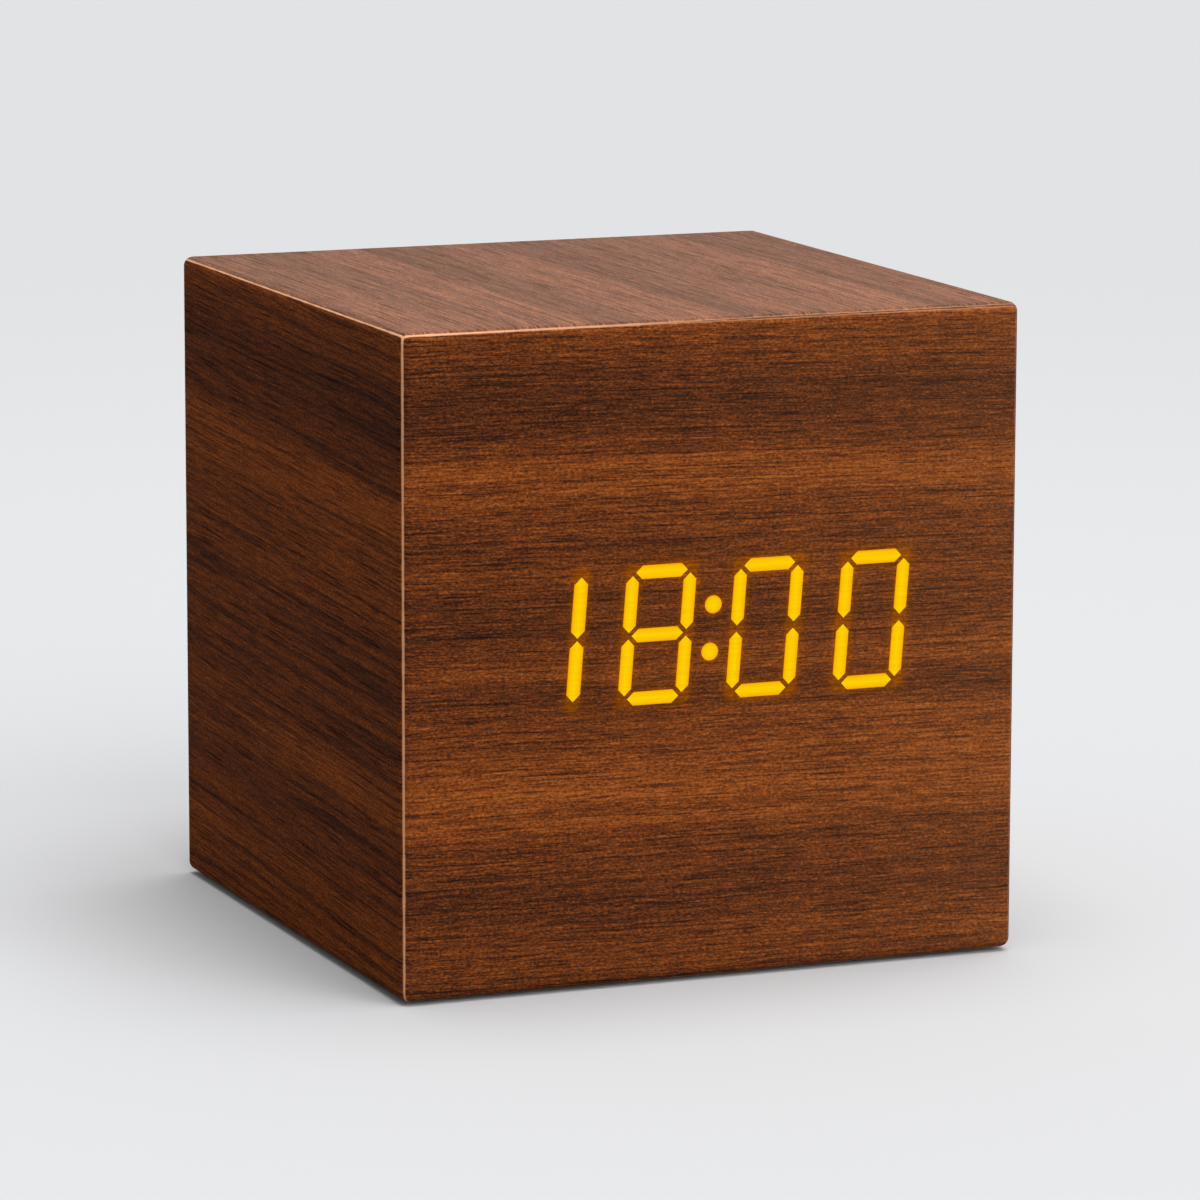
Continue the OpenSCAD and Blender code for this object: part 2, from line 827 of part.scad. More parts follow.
// Places of the bezel's four screws
module bezel_screw_places() {
    for (x = [-1, 1], z = [-1, 1])
        translate([x * boss_x, 0, panel_z + z * bezel_screw_z]) children();
}

// Outline of the power socket, grown by some amount
function socket(grow) = let (w = usb_w / 2 + grow, h = usb_h / 2 + grow) [
    [-w, h], [w, h], [w, usb_cut - h], [w - usb_cut, -h], [usb_cut - w, -h], [-w, usb_cut - h],
];

module control_bezel() {
    color("#1c1c1e")
        difference() {
            union() {
                depth(flange_y, face_y) translate([0, panel_z]) round_rect(plug_w, plug_h, plug_r);
                depth(flange_y, inner) translate([0, panel_z]) round_rect(flange_w, flange_h, plug_r);
                for (x = [-1, 1])
                    facing_back(x * boss_x, control_y, panel_z)
                        cylinder(r = boss_r, h = flange_y - control_y + flange_t / 2);
            }
            depth(flange_y - eps, face_in_y)
                translate([0, panel_z])
                    round_rect(pocket_w, pocket_h, plug_r - bezel_wall / 2);
            for (x = [set_x, up_x, down_x])
                depth(face_in_y - eps, face_y + eps)
                    translate([x, panel_z]) obround(button_w + 2 * button_fit, button_h + 2 * button_fit);
            depth(face_in_y - eps, face_y + eps) translate([usb_x, panel_z]) polygon(socket(usb_fit));
            facing_back(mic_x, face_in_y - eps, panel_z) cylinder(r = mic_hole_r, h = bezel_t + 2 * eps);
            for (x = [-1, 1])
                facing_back(x * boss_x, control_y - eps, panel_z)
                    cylinder(r = small_screw_r + pilot_fit, h = eps + control_screw_hold + 0.3);
            bezel_screw_places() facing_back(0, flange_y - eps, 0)
                cylinder(r = small_screw_r + hole_fit, h = flange_t + 2 * eps);
        }
}

module bezel_screws() {
    color("#a9abad")
        bezel_screw_places() facing_back(0, flange_y, 0)
            screw(small_screw_r, flange_t + bezel_screw_hold, small_head_r, small_head_h);
}

// Button with a rim behind the bezel and a stem to its switch, with a mark sunk in its face
module button(x) {
    difference() {
        union() {
            depth(face_in_y - 0.01, face_y + button_proud - button_edge)
                translate([x, panel_z]) obround(button_w, button_h);
            facing_back(x, face_y + button_proud - button_edge, panel_z)
                obround_crown(button_w, button_h, button_edge);
            depth(face_in_y - button_rim_t, face_in_y)
                translate([x, panel_z]) obround(button_w + 2 * button_lip, button_h + 2 * button_lip);
            facing_back(x, plunger_tip_y, panel_z) cylinder(r = stem_r, h = stem_l + button_rim_t / 2);
        }
        depth(face_y + button_proud - mark_d, face_y + button_proud + eps)
            translate([x, panel_z]) children();
    }
}

// Triangle that points up, or down with a negative size
module arrow(size) {
    polygon([[-abs(size) / 2, -size * 0.4], [abs(size) / 2, -size * 0.4], [0, size * 0.5]]);
}

module set_button() {
    color("#29292b") button(set_x) circle(mark_size / 2.6);
}

module up_button() {
    color("#29292b") button(up_x) arrow(mark_size);
}

module down_button() {
    color("#29292b") button(down_x) arrow(-mark_size);
}

module plunger(x) {
    facing_back(x, plunger_tip_y - plunger_out - plunger_in, panel_z)
        cylinder(r = plunger_r, h = plunger_in + plunger_out);
}

module set_plunger() {
    color("#8c2f24") plunger(set_x);
}

module up_plunger() {
    color("#8c2f24") plunger(up_x);
}

module down_plunger() {
    color("#8c2f24") plunger(down_x);
}

module switch_bodies() {
    color("#34363a")
        for (x = [set_x, up_x, down_x])
            facing_back(x, control_y, panel_z)
                difference() {
                    translate([-switch_w / 2, -switch_w / 2, 0]) cube([switch_w, switch_w, switch_h]);
                    translate([0, 0, switch_h - plunger_in - button_travel - 0.2])
                        cylinder(r = plunger_r + plunger_fit, h = plunger_in + button_travel + 0.2 + eps);
                }
}

module control_board() {
    color("#1d5b36")
        difference() {
            depth(control_in_y, control_y) translate([0, panel_z]) round_rect(control_w, control_h, corner_r);
            for (x = [-1, 1])
                facing_back(x * boss_x, control_in_y - eps, panel_z)
                    cylinder(r = small_screw_r + hole_fit, h = control_t + 2 * eps);
        }
}

module control_screws() {
    color("#a9abad")
        for (x = [-1, 1])
            facing_back(x * boss_x, control_in_y, panel_z)
                screw(small_screw_r, control_t + control_screw_hold, small_head_r, small_head_h);
}

module usb_shell() {
    color("#b9bbbd")
        difference() {
            depth(control_y, usb_mouth_y) translate([usb_x, panel_z]) polygon(socket(0));
            depth(usb_mouth_y - usb_d, usb_mouth_y + eps)
                translate([usb_x, panel_z]) polygon(socket(-usb_t));
        }
}

module usb_tongue() {
    color("#141415")
        depth(usb_mouth_y - usb_d, usb_mouth_y - 0.6)
            translate([usb_x, panel_z + 0.35]) square([usb_tongue_w, 0.7], center = true);
}

module microphone() {
    color("#c4c6c8")
        facing_back(mic_x, control_y, panel_z)
            difference() {
                cylinder(r = mic_r, h = mic_h);
                translate([0, 0, mic_h - 0.3]) cylinder(r = mic_r * 0.6, h = 0.3 + eps);
            }
}

module ribbon_headers() {
    color("#e8e4d6") {
        facing_back(ribbon_x, main_rear_y, panel_z)
            translate([-header_w / 2, -header_d / 2, 0]) cube([header_w, header_d, header_h]);
        facing_front(ribbon_x, control_in_y, panel_z)
            translate([-header_w / 2, -header_d / 2, 0]) cube([header_w, header_d, header_h]);
    }
}

// Height of the ribbon at a share of its length
function ribbon_z(t) = panel_z - ribbon_sag * (1 - cos(360 * t)) / 2;

module ribbon_cable() {
    steps = 24;
    lower = [for (i = [0:steps])
        [ribbon_y0 + (ribbon_y1 - ribbon_y0) * i / steps, ribbon_z(i / steps) - ribbon_t / 2]];
    upper = [for (i = [steps:-1:0])
        [ribbon_y0 + (ribbon_y1 - ribbon_y0) * i / steps, ribbon_z(i / steps) + ribbon_t / 2]];
    color("#9a9da2")
        translate([ribbon_x - ribbon_w / 2, 0, 0])
            rotate([90, 0, 90]) linear_extrude(ribbon_w) polygon(concat(lower, upper));
}

// Base

// Places of the four feet
module foot_places() {
    for (x = [-1, 1], y = [-1, 1]) translate([x * foot_x, y * foot_x, 0]) children();
}

// The three cells' rows, from front to back
module cell_rows() {
    for (row = [0:2]) translate([0, (row - 1) * cell_pitch, cell_z]) rotate([0, 0, row == 1 ? 180 : 0])
        children();
}

module base_tray() {
    color("#1b1b1d")
        difference() {
            union() {
                translate([-plate_half, -plate_half, plate_z0])
                    cube([2 * plate_half, 2 * plate_half, plate_t]);
                translate([-bay_l / 2 - bay_wall, -bay_w / 2 - bay_wall, plate_z0])
                    cube([bay_l + 2 * bay_wall, bay_w + 2 * bay_wall, bay_z1 - plate_z0]);
            }
            translate([-opening_l / 2, -opening_w / 2, plate_z0 - eps])
                cube([opening_l, opening_w, ledge_z - plate_z0 + eps]);
            difference() {
                translate([-bay_l / 2, -bay_w / 2, plate_z0]) cube([bay_l, bay_w, ceiling_z - plate_z0]);
                saddles();
            }
            for (side = [-1, 1]) {
                translate([side * tab_x, -side * cell_pitch, bay_z1 - bay_wall / 2])
                    cube([contact_t + 2 * tab_fit, tab_w + 2 * tab_fit, bay_wall + 2 * eps], center = true);
                translate([side * door_half_l, hinge_y, hinge_z])
                    rotate([0, side * 90, 0]) cylinder(r = pin_r + pin_fit, h = pin_l + 0.3);
            }
            translate([-latch_w / 2 - 0.5, latch_y, latch_z])
                rotate([0, 90, 0]) cylinder(r = latch_r + door_fit, h = latch_w + 1);
            translate([0, -opening_w / 2, plate_z0 - eps]) cylinder(r = notch_r, h = notch_d + eps);
            foot_places() translate([0, 0, plate_z0 - eps])
                cylinder(r = foot_r + foot_fit, h = eps + foot_sink);
            base_screw_places() {
                translate([0, 0, plate_z0 - eps]) cylinder(r = base_screw_r + hole_fit, h = plate_t + 2 * eps);
                translate([0, 0, plate_z0 - eps])
                    cylinder(r = base_head_r + 0.3, h = eps + base_head_h + 0.1);
            }
            for (i = [-2:2], j = [-0.5, 0.5])
                translate([i * sound_pitch, block_y + j * sound_pitch, plate_z0 - eps])
                    cylinder(r = sound_r, h = plate_t + 2 * eps);
        }
}

// Cross walls in the bay, hollowed for the cells
module saddles() {
    difference() {
        for (side = [-1, 1])
            translate([side * saddle_x - saddle_t / 2, -bay_w / 2 - eps, cell_z + 1])
                cube([saddle_t, bay_w + 2 * eps, ceiling_z - cell_z]);
        for (row = [-1:1])
            translate([-bay_l / 2, row * cell_pitch, cell_z])
                rotate([0, 90, 0]) cylinder(r = cell_r + cell_fit, h = bay_l);
    }
}

module base_screws() {
    color("#a9abad")
        base_screw_places()
            translate([0, 0, plate_z0 + base_head_h + 0.1])
                screw(base_screw_r, plate_t - base_head_h - 0.1 + base_screw_hold, base_head_r, base_head_h);
}

module feet() {
    color("#2b2b2b")
        foot_places()
            rotate_extrude()
                polygon([
                    [0, 0], [foot_r - foot_edge, 0], [foot_r, foot_edge],
                    [foot_r, plate_z0 + foot_sink], [0, plate_z0 + foot_sink],
                ]);
}

module battery_door() {
    color("#202022")
        difference() {
            union() {
                translate([-door_half_l, door_front_y, plate_z0])
                    cube([2 * door_half_l, hinge_y - door_front_y, door_t]);
                translate([-door_half_l, hinge_y, hinge_z])
                    rotate([0, 90, 0]) cylinder(r = door_t / 2, h = 2 * door_half_l);
                translate([-door_half_l - pin_l, hinge_y, hinge_z])
                    rotate([0, 90, 0]) cylinder(r = pin_r, h = 2 * (door_half_l + pin_l));
                translate([-latch_w / 2, latch_y, latch_z])
                    rotate([0, 90, 0]) cylinder(r = latch_r, h = latch_w);
            }
            for (side = [-1, 1])
                translate([side * (latch_w / 2 + latch_slit / 2) - latch_slit / 2, door_front_y - eps, plate_z0 - eps])
                    cube([latch_slit, latch_l + eps, door_t + 2 * eps]);
            for (i = [0:grip_count - 1])
                translate([-latch_w / 2 + 1, door_front_y + 1 + i * grip_pitch, plate_z0 - eps])
                    cube([latch_w - 2, grip_pitch / 2, grip_d + eps]);
        }
}

module battery_cells() {
    color("#3f6b57")
        cell_rows()
            translate([bay_l / 2 - contact_t - cell_l, 0, 0])
                rotate([0, 90, 0]) {
                    cylinder(r = cell_r, h = cell_l - nub_l);
                    cylinder(r = nub_r, h = cell_l);
                }
}

// Contact plate against an end of the bay, over the rows from the first to the last
module contact(side, first, last) {
    translate([side * tab_x - contact_t / 2, (first - 1) * cell_pitch - contact_w / 2, cell_z - contact_h / 2])
        cube([contact_t, (last - first) * cell_pitch + contact_w, contact_h]);
}

// Solder tab that leads an end plate up through the bay's ceiling
module tab(side) {
    translate([side * tab_x - contact_t / 2, -side * cell_pitch - tab_w / 2, cell_z])
        cube([contact_t, tab_w, tab_z - cell_z]);
}

module contact_plates() {
    color("#c8c9c4") {
        union() {
            contact(1, 0, 0);
            tab(1);
        }
        union() {
            contact(-1, 2, 2);
            tab(-1);
        }
        contact(1, 1, 2);
        contact(-1, 0, 1);
    }
}

// Tube around rings of points, closed at both ends
module tube(rings) {
    n = len(rings[0]);
    m = len(rings);
    points = [for (ring = rings) each ring];
    sides = [for (i = [0:m - 2], j = [0:n - 1]) let (a = i * n + j, b = i * n + (j + 1) % n)
        each [[a, b, b + n], [a, b + n, a + n]]];
    start = [for (j = [1:n - 2]) [0, j + 1, j]];
    end = [for (j = [1:n - 2]) let (o = (m - 1) * n) [o, o + j, o + j + 1]];
    polyhedron(points, concat(sides, start, end));
}

// Point on the middle line of a contact spring, from its plate to its cell
spring_steps = 12 * spring_turns;
spring_rise = spring_l - 2 * (spring_wire_r + spring_seat);
function spring_r(t) = spring_base_r + (spring_tip_r - spring_base_r) * t;
function spring_point(i) = let (t = i / spring_steps, a = 30 * i)
    [spring_wire_r + spring_seat + spring_rise * t, spring_r(t) * cos(a), spring_r(t) * sin(a)];
function spring_ring(i) = let (a = 30 * i, p = spring_point(i))
    [for (j = [0:5]) p + spring_wire_r * [sin(60 * j), cos(60 * j) * cos(a), cos(60 * j) * sin(a)]];
spring_gap = min([for (i = [0:spring_steps], j = [0:spring_steps]) if (j > i + 6)
    norm(spring_point(i) - spring_point(j)) - 2 * spring_wire_r]);
echo(least_gap_between_spring_turns = spring_gap);

module contact_springs() {
    color("#cfd0cc")
        cell_rows()
            translate([contact_t - bay_l / 2, 0, 0])
                tube([for (i = [0:spring_steps]) spring_ring(i)]);
}

// Curve that leaves one point along one arm and reaches the other point along its arm
function curve(t, p, p_arm, q, q_arm) =
    pow(1 - t, 3) * p + 3 * pow(1 - t, 2) * t * (p + p_arm)
    + 3 * (1 - t) * t * t * (q + q_arm) + pow(t, 3) * q;
function heading(t, p, p_arm, q, q_arm) = let (
    v = pow(1 - t, 2) * p_arm + 2 * (1 - t) * t * (q + q_arm - p - p_arm) - t * t * q_arm
) v / norm(v);

// Lead from a solder tab to the display board
module lead(side) {
    p = [side * tab_x, -side * cell_pitch, tab_z];
    q = [side * lead_x, main_rear_y, lead_z];
    rise = [0, 0, 4];
    reach = [0, 6, 0];
    steps = 14;
    tube([for (i = [0:steps]) let (
        t = i / steps,
        d = heading(t, p, rise, q, reach),
        u0 = cross(d, [1, 0, 0]),
        u = u0 / norm(u0),
        v = cross(u, d)
    ) [for (j = [0:7]) curve(t, p, rise, q, reach) + lead_r * (cos(45 * j) * u + sin(45 * j) * v)]]);
}

module red_lead() {
    color("#b02020") lead(1);
}

module black_lead() {
    color("#1e1e1e") lead(-1);
}

front_veneer();
left_veneer();
right_veneer();
top_veneer();
back_veneer();
lit_hour_tens();
lit_hour_units();
lit_colon();
lit_minute_tens();
lit_minute_units();
front_board();
back_board();
left_board();
right_board();
top_board();
screw_blocks();
display_reflector();
segment_guides();
led_chips();
main_board();
board_spacers();
board_screws();
clock_chip();
crystal();
capacitors();
buzzer();
control_bezel();
bezel_screws();
set_button();
up_button();
down_button();
set_plunger();
up_plunger();
down_plunger();
switch_bodies();
control_board();
control_screws();
usb_shell();
usb_tongue();
microphone();
ribbon_cable();
ribbon_headers();
base_tray();
base_screws();
feet();
battery_door();
battery_cells();
contact_plates();
contact_springs();
red_lead();
black_lead();
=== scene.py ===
import math

import bmesh
import bpy
from mathutils import Matrix, Vector

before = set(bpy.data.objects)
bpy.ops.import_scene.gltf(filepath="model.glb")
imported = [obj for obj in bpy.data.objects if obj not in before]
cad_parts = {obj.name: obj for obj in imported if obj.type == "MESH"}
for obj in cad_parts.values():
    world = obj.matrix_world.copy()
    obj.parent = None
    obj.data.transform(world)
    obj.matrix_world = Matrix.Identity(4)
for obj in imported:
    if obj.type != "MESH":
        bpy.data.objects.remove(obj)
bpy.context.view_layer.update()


# Fibreboard panels
# Five panels of medium-density fibreboard, 3.2 mm thick, are mitred at their edges and glued
# into a box that is open below. Only their sawn lower edges show, under the case.
def add(tree, kind, *values, **named):
    """Adds a shader node and returns its first output. Values go to its inputs in order and capitalised
    names to inputs by name, linked where they are sockets. The other names are the node's settings."""
    node = tree.nodes.new("ShaderNode" + kind)
    for name, value in named.items():
        if name[0].islower():
            setattr(node, name, value)
    wanted = list(zip(node.inputs, values))
    wanted += [(node.inputs[n.replace("_", " ")], v) for n, v in named.items() if n[0].isupper()]
    for socket, value in wanted:
        if isinstance(value, bpy.types.NodeSocket):
            tree.links.new(value, socket)
        else:
            socket.default_value = value
    return node.outputs[0]


def mixed(tree, factor, first, second, mode="MIX"):
    """Two colours mixed by a factor."""
    node = tree.nodes.new("ShaderNodeMix")
    node.data_type = "RGBA"
    node.blend_type = mode
    for index, value in ((0, factor), (6, first), (7, second)):
        if isinstance(value, bpy.types.NodeSocket):
            tree.links.new(value, node.inputs[index])
        else:
            node.inputs[index].default_value = value
    return node.outputs[2]


def ramp(tree, factor, stops, shape="LINEAR"):
    """A colour ramp through stops of place and colour, or of place and grey value."""
    node = tree.nodes.new("ShaderNodeValToRGB")
    node.color_ramp.interpolation = shape
    elements = node.color_ramp.elements
    while len(elements) < len(stops):
        elements.new(1.0)
    for element, (place, colour) in zip(elements, stops):
        element.position = place
        element.color = (*colour, 1) if hasattr(colour, "__len__") else (colour, colour, colour, 1)
    tree.links.new(factor, node.inputs[0])
    return node.outputs[0]


def effect(name, inputs, outputs):
    """A node group with number or vector inputs and outputs, as its tree, its inputs and its output node."""
    tree = bpy.data.node_groups.new(name, "ShaderNodeTree")
    for label, kind in inputs.items():
        tree.interface.new_socket(label, in_out="INPUT", socket_type="NodeSocket" + kind)
    for label, kind in outputs.items():
        tree.interface.new_socket(label, in_out="OUTPUT", socket_type="NodeSocket" + kind)
    return tree, tree.nodes.new("NodeGroupInput").outputs, tree.nodes.new("NodeGroupOutput").inputs


def apply(tree, group, **named):
    """Places a node group in a tree and returns its outputs."""
    node = tree.nodes.new("ShaderNodeGroup")
    node.node_tree = group
    for name, value in named.items():
        socket = node.inputs[name.replace("_", " ")]
        if isinstance(value, bpy.types.NodeSocket):
            tree.links.new(value, socket)
        else:
            socket.default_value = value
    return node.outputs


def millimetres(tree):
    """The Object coordinates in millimetres."""
    coordinate = tree.nodes.new("ShaderNodeTexCoord").outputs["Object"]
    return add(tree, "VectorMath", coordinate, Scale=1000.0, operation="SCALE")


def new_finish(name):
    """A new material with its node tree, its Principled shader and its Object coordinates in millimetres."""
    material = bpy.data.materials.new(name)
    material.use_nodes = True
    tree = material.node_tree
    return material, tree, tree.nodes["Principled BSDF"], millimetres(tree)


def surface(tree, shader, colour, roughness, height, depth, **settings):
    """Feeds a Principled shader with a colour, a roughness and a relief that is depth millimetres deep."""
    bump = add(tree, "Bump", Strength=1.0, Distance=depth / 1000, Height=height)
    tree.links.new(bump, shader.inputs["Normal"])
    tree.links.new(colour, shader.inputs["Base Color"])
    tree.links.new(roughness, shader.inputs["Roughness"])
    for name, value in settings.items():
        shader.inputs[name.replace("_", " ")].default_value = value


def dress(material, *nodes):
    """Gives CAD nodes a finish."""
    for name in nodes:
        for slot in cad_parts[name].material_slots:
            slot.material = material


speckle, given, made = effect(
    "speckle", {"Vector": "Vector", "Size": "Float"}, {"Fine": "Float", "Broad": "Float"}
)
per_mm = add(speckle, "Math", 1.0, given["Size"], operation="DIVIDE")
fine = add(speckle, "TexNoise", Vector=given["Vector"], Scale=per_mm, Detail=2.0, Roughness=0.6)
speckle.links.new(fine, made["Fine"])
per_patch = add(speckle, "Math", per_mm, 0.06, operation="MULTIPLY")
broad = add(speckle, "TexNoise", Vector=given["Vector"], Scale=per_patch, Detail=3.0, Roughness=0.55)
speckle.links.new(broad, made["Broad"])


def moulded(name, colour, spread, size, rough, depth, **settings):
    """A finish of one colour that varies by a share in fine speckles and broad patches, as on moulded parts."""
    material, tree, shader, place = new_finish(name)
    grains = apply(tree, speckle, Vector=place, Size=size)
    both = add(tree, "Math", grains["Fine"], grains["Broad"], operation="ADD")
    tone = add(tree, "MapRange", both, 0.7, 1.3, 0.0, 1.0)
    low = [c * (1 - spread) for c in colour]
    high = [c * (1 + spread) for c in colour]
    paint = ramp(tree, tone, [(0.0, low), (1.0, high)])
    gloss = add(tree, "MapRange", grains["Broad"], 0.3, 0.7, rough - 0.06, rough + 0.06)
    surface(tree, shader, paint, gloss, grains["Fine"], depth, **settings)
    return material


fibreboard = moulded("fibreboard", (0.30, 0.185, 0.09), 0.35, 0.35, 0.85, 0.05)
dress(fibreboard, "front_board", "back_board", "left_board", "right_board", "top_board")


# Glue blocks
# Four blocks of softwood are glued into the corners between the panels and take the base screws.
# They are sawn across the board, with growth rings that run along their length.
pine, tree, shader, place = new_finish("pine")
rings = add(tree, "TexWave", Vector=place, Scale=0.16, Distortion=3.0, Detail=2.0, bands_direction="Y")
wood = ramp(tree, rings, [(0.0, (0.62, 0.42, 0.21)), (0.75, (0.52, 0.33, 0.15)), (1.0, (0.36, 0.2, 0.08))])
gloss = add(tree, "MapRange", rings, 0.0, 1.0, 0.75, 0.6)
surface(tree, shader, wood, gloss, rings, 0.03)
dress(pine, "screw_blocks")


# Light box
# A block of white plastic with a well for each segment keeps the light of one segment from the next.
# Clear resin guides fill the wells and reach into the pockets in the back of the veneer.
white_plastic = moulded("white_plastic", (0.8, 0.8, 0.77), 0.05, 0.2, 0.45, 0.01)
light_guide = moulded("light_guide", (0.9, 0.76, 0.42), 0.08, 1.2, 0.2, 0.01)
dress(white_plastic, "display_reflector")
dress(light_guide, "segment_guides")


# LED chips
# One small chip sits on the display board behind each well. Its package of amber resin glows faintly
# all over.
led, tree, shader, place = new_finish("led_chip")
grains = apply(tree, speckle, Vector=place, Size=0.4)
resin = ramp(tree, grains["Fine"], [(0.35, (0.8, 0.5, 0.05)), (0.65, (1.0, 0.7, 0.12))])
gloss = add(tree, "MapRange", grains["Broad"], 0.3, 0.7, 0.25, 0.4)
surface(tree, shader, resin, gloss, grains["Fine"], 0.01, Emission_Strength=0.5)
tree.links.new(resin, shader.inputs["Emission Color"])
dress(led, "led_chips")


# Circuit boards
# The display board behind the light box and the small control board in the back are green glass
# laminate. Copper tracks show as paler lines under the solder mask, with tinned pads between them.
def axes(tree, vector):
    """The three parts of a vector."""
    node = tree.nodes.new("ShaderNodeSeparateXYZ")
    tree.links.new(vector, node.inputs[0])
    return node.outputs


circuit, tree, shader, place = new_finish("circuit_board")
x, y, z = axes(tree, place)
flat = add(tree, "CombineXYZ", x, z, 0.0)
tracks = tree.nodes.new("ShaderNodeTexBrick")
tracks.offset, tracks.squash = 0.37, 0.6
for name, value in (("Scale", 0.3), ("Mortar Size", 0.045), ("Mortar Smooth", 0.3), ("Brick Width", 1.4)):
    tracks.inputs[name].default_value = value
tree.links.new(flat, tracks.inputs["Vector"])
track = tracks.outputs["Fac"]
dots = add(tree, "TexVoronoi", Vector=flat, Scale=0.32, Randomness=0.6)
pad = add(tree, "MapRange", dots, 0.16, 0.2, 1.0, 0.0)
mask_green = mixed(tree, track, (0.008, 0.085, 0.03, 1), (0.02, 0.16, 0.06, 1))
laminate = mixed(tree, pad, mask_green, (0.55, 0.55, 0.52, 1))
gloss = add(tree, "MapRange", pad, 0.0, 1.0, 0.3, 0.42)
relief = add(tree, "Math", track, pad, operation="MAXIMUM")
surface(tree, shader, laminate, gloss, relief, 0.03)
dress(circuit, "main_board", "control_board")


# Fasteners and spacers of the boards
# The display board stands on moulded spacers and is held by zinc-plated cross-recess screws, and so
# are the control panel and its board. Zinc plate has a soft blotchy sheen.
zinc, tree, shader, place = new_finish("zinc_plate")
grains = apply(tree, speckle, Vector=place, Size=0.25)
plate = ramp(tree, grains["Broad"], [(0.3, (0.36, 0.37, 0.38)), (0.7, (0.58, 0.59, 0.58))])
gloss = add(tree, "MapRange", grains["Broad"], 0.3, 0.7, 0.26, 0.42)
surface(tree, shader, plate, gloss, grains["Fine"], 0.008, Metallic=1.0)
dress(zinc, "board_screws", "bezel_screws", "control_screws", "base_screws")

black_plastic = moulded("black_plastic", (0.016, 0.016, 0.017), 0.3, 0.13, 0.52, 0.02)
dress(black_plastic, "board_spacers", "control_bezel", "base_tray", "battery_door")


# Parts on the display board
# The clock chip and the buzzer are moulded in black epoxy and plastic, and the crystal and the
# capacitors are drawn metal cans. The switch bodies and the socket's tongue are moulded like the
# first, and the microphone is a can like the second.
epoxy = moulded("epoxy", (0.018, 0.018, 0.02), 0.35, 0.1, 0.6, 0.01)
dress(epoxy, "clock_chip", "buzzer", "switch_bodies", "usb_tongue")

can, tree, shader, place = new_finish("metal_can")
long_scratches = add(tree, "VectorMath", place, (6.0, 0.4, 6.0), operation="MULTIPLY")
drawn = add(tree, "TexNoise", Vector=long_scratches, Scale=1.0, Detail=3.0)
plate = ramp(tree, drawn, [(0.3, (0.42, 0.43, 0.44)), (0.7, (0.62, 0.63, 0.63))])
gloss = add(tree, "MapRange", drawn, 0.3, 0.7, 0.22, 0.36)
surface(tree, shader, plate, gloss, drawn, 0.01, Metallic=1.0)
dress(can, "crystal", "capacitors", "microphone")


# Walnut veneer
# Thin sheets of walnut cover the five outer faces and are rounded off together along the edges,
# where sanding leaves a paler line that fades into a dark glue line. The pale line is partly a painted
# highlight on the rounding: it is strongest along the top edges and on the left, and fainter to the right
# and lower down. On the front and back the grain runs across, and on the sides and the top it runs from
# front to back. The front is painted paler towards the right and the top darker towards the back, as
# painted light, and both carry a pale film that is a painted sheen.
flow, given, made = effect(
    "grain_flow",
    {"Vector": "Vector", "Bend": "Float", "Ripple": "Float"},
    {"Vector": "Vector"},
)
slow = add(flow, "VectorMath", given["Vector"], (0.021, 0.05, 0.02), operation="MULTIPLY")
bend = add(flow, "TexNoise", Vector=slow, Scale=1.0, Detail=1.0)
bend = add(flow, "Math", bend, -0.5, operation="ADD")
bend = add(flow, "Math", bend, given["Bend"], operation="MULTIPLY")
quick = add(flow, "VectorMath", given["Vector"], (0.11, 0.3, 0.05), operation="MULTIPLY")
ripple = add(flow, "TexNoise", Vector=quick, Scale=1.0, Detail=1.0)
ripple = add(flow, "Math", ripple, -0.5, operation="ADD")
ripple = add(flow, "Math", ripple, given["Ripple"], operation="MULTIPLY")
sway = add(flow, "Math", bend, ripple, operation="ADD")
sway = add(flow, "CombineXYZ", 0.0, sway, 0.0)
flow.links.new(add(flow, "VectorMath", given["Vector"], sway, operation="ADD"), made["Vector"])

grain, given, made = effect(
    "walnut_grain",
    {"Vector": "Vector", "Tone": "Float", "Lines": "Float", "Contrast": "Float"},
    {"Color": "Color", "Roughness": "Float", "Height": "Float"},
)


def streaks(along, across, detail, rough, shift):
    """Noise drawn out along the grain, with so many features to a millimetre along and across it."""
    stretched = add(grain, "VectorMath", given["Vector"], (along, across, 0.3), (0, 0, shift), operation="MULTIPLY_ADD")
    return add(grain, "TexNoise", Vector=stretched, Scale=1.0, Detail=detail, Roughness=rough)


def summed(*terms):
    """The tone with each streak's departure from its middle added, times its share and the contrast."""
    total = 0.0
    for streak, share in terms:
        off = add(grain, "Math", streak, -0.5, operation="ADD")
        total = add(grain, "Math", off, share, total, operation="MULTIPLY_ADD")
    return add(grain, "Math", total, given["Contrast"], given["Tone"], operation="MULTIPLY_ADD")


wide = streaks(0.012, 0.42, 1.0, 0.5, 0.0)
line = streaks(0.02, 1.15, 1.0, 0.6, 3.0)
line = add(grain, "MapRange", line, 0.5, 0.66, 0.0, 1.0, interpolation_type="SMOOTHSTEP")
thin = streaks(0.06, 2.8, 1.0, 0.7, 7.0)
dash = streaks(0.4, 3.8, 1.0, 0.8, 19.0)
mottle = streaks(2.4, 4.6, 1.0, 1.0, 11.0)
pore = streaks(0.1, 4.4, 1.0, 0.6, 15.0)
pore = add(grain, "MapRange", pore, 0.56, 0.66, 0.0, 1.0, interpolation_type="SMOOTHSTEP")
tone = summed((wide, 0.25), (thin, 0.45), (dash, 0.7), (mottle, 1.1))
tone = add(grain, "Math", tone, add(grain, "Math", line, given["Lines"], operation="MULTIPLY"), operation="SUBTRACT")
tone = add(grain, "Math", pore, -0.24, tone, operation="MULTIPLY_ADD")
tone = add(grain, "Math", tone, 0.06, operation="ADD")
walnut_tones = [
    (0.0, (0.022, 0.0082, 0.0050)),
    (0.3, (0.062, 0.0184, 0.0078)),
    (0.55, (0.140, 0.0354, 0.0094)),
    (0.8, (0.262, 0.0660, 0.0118)),
    (1.0, (0.38, 0.108, 0.021)),
]
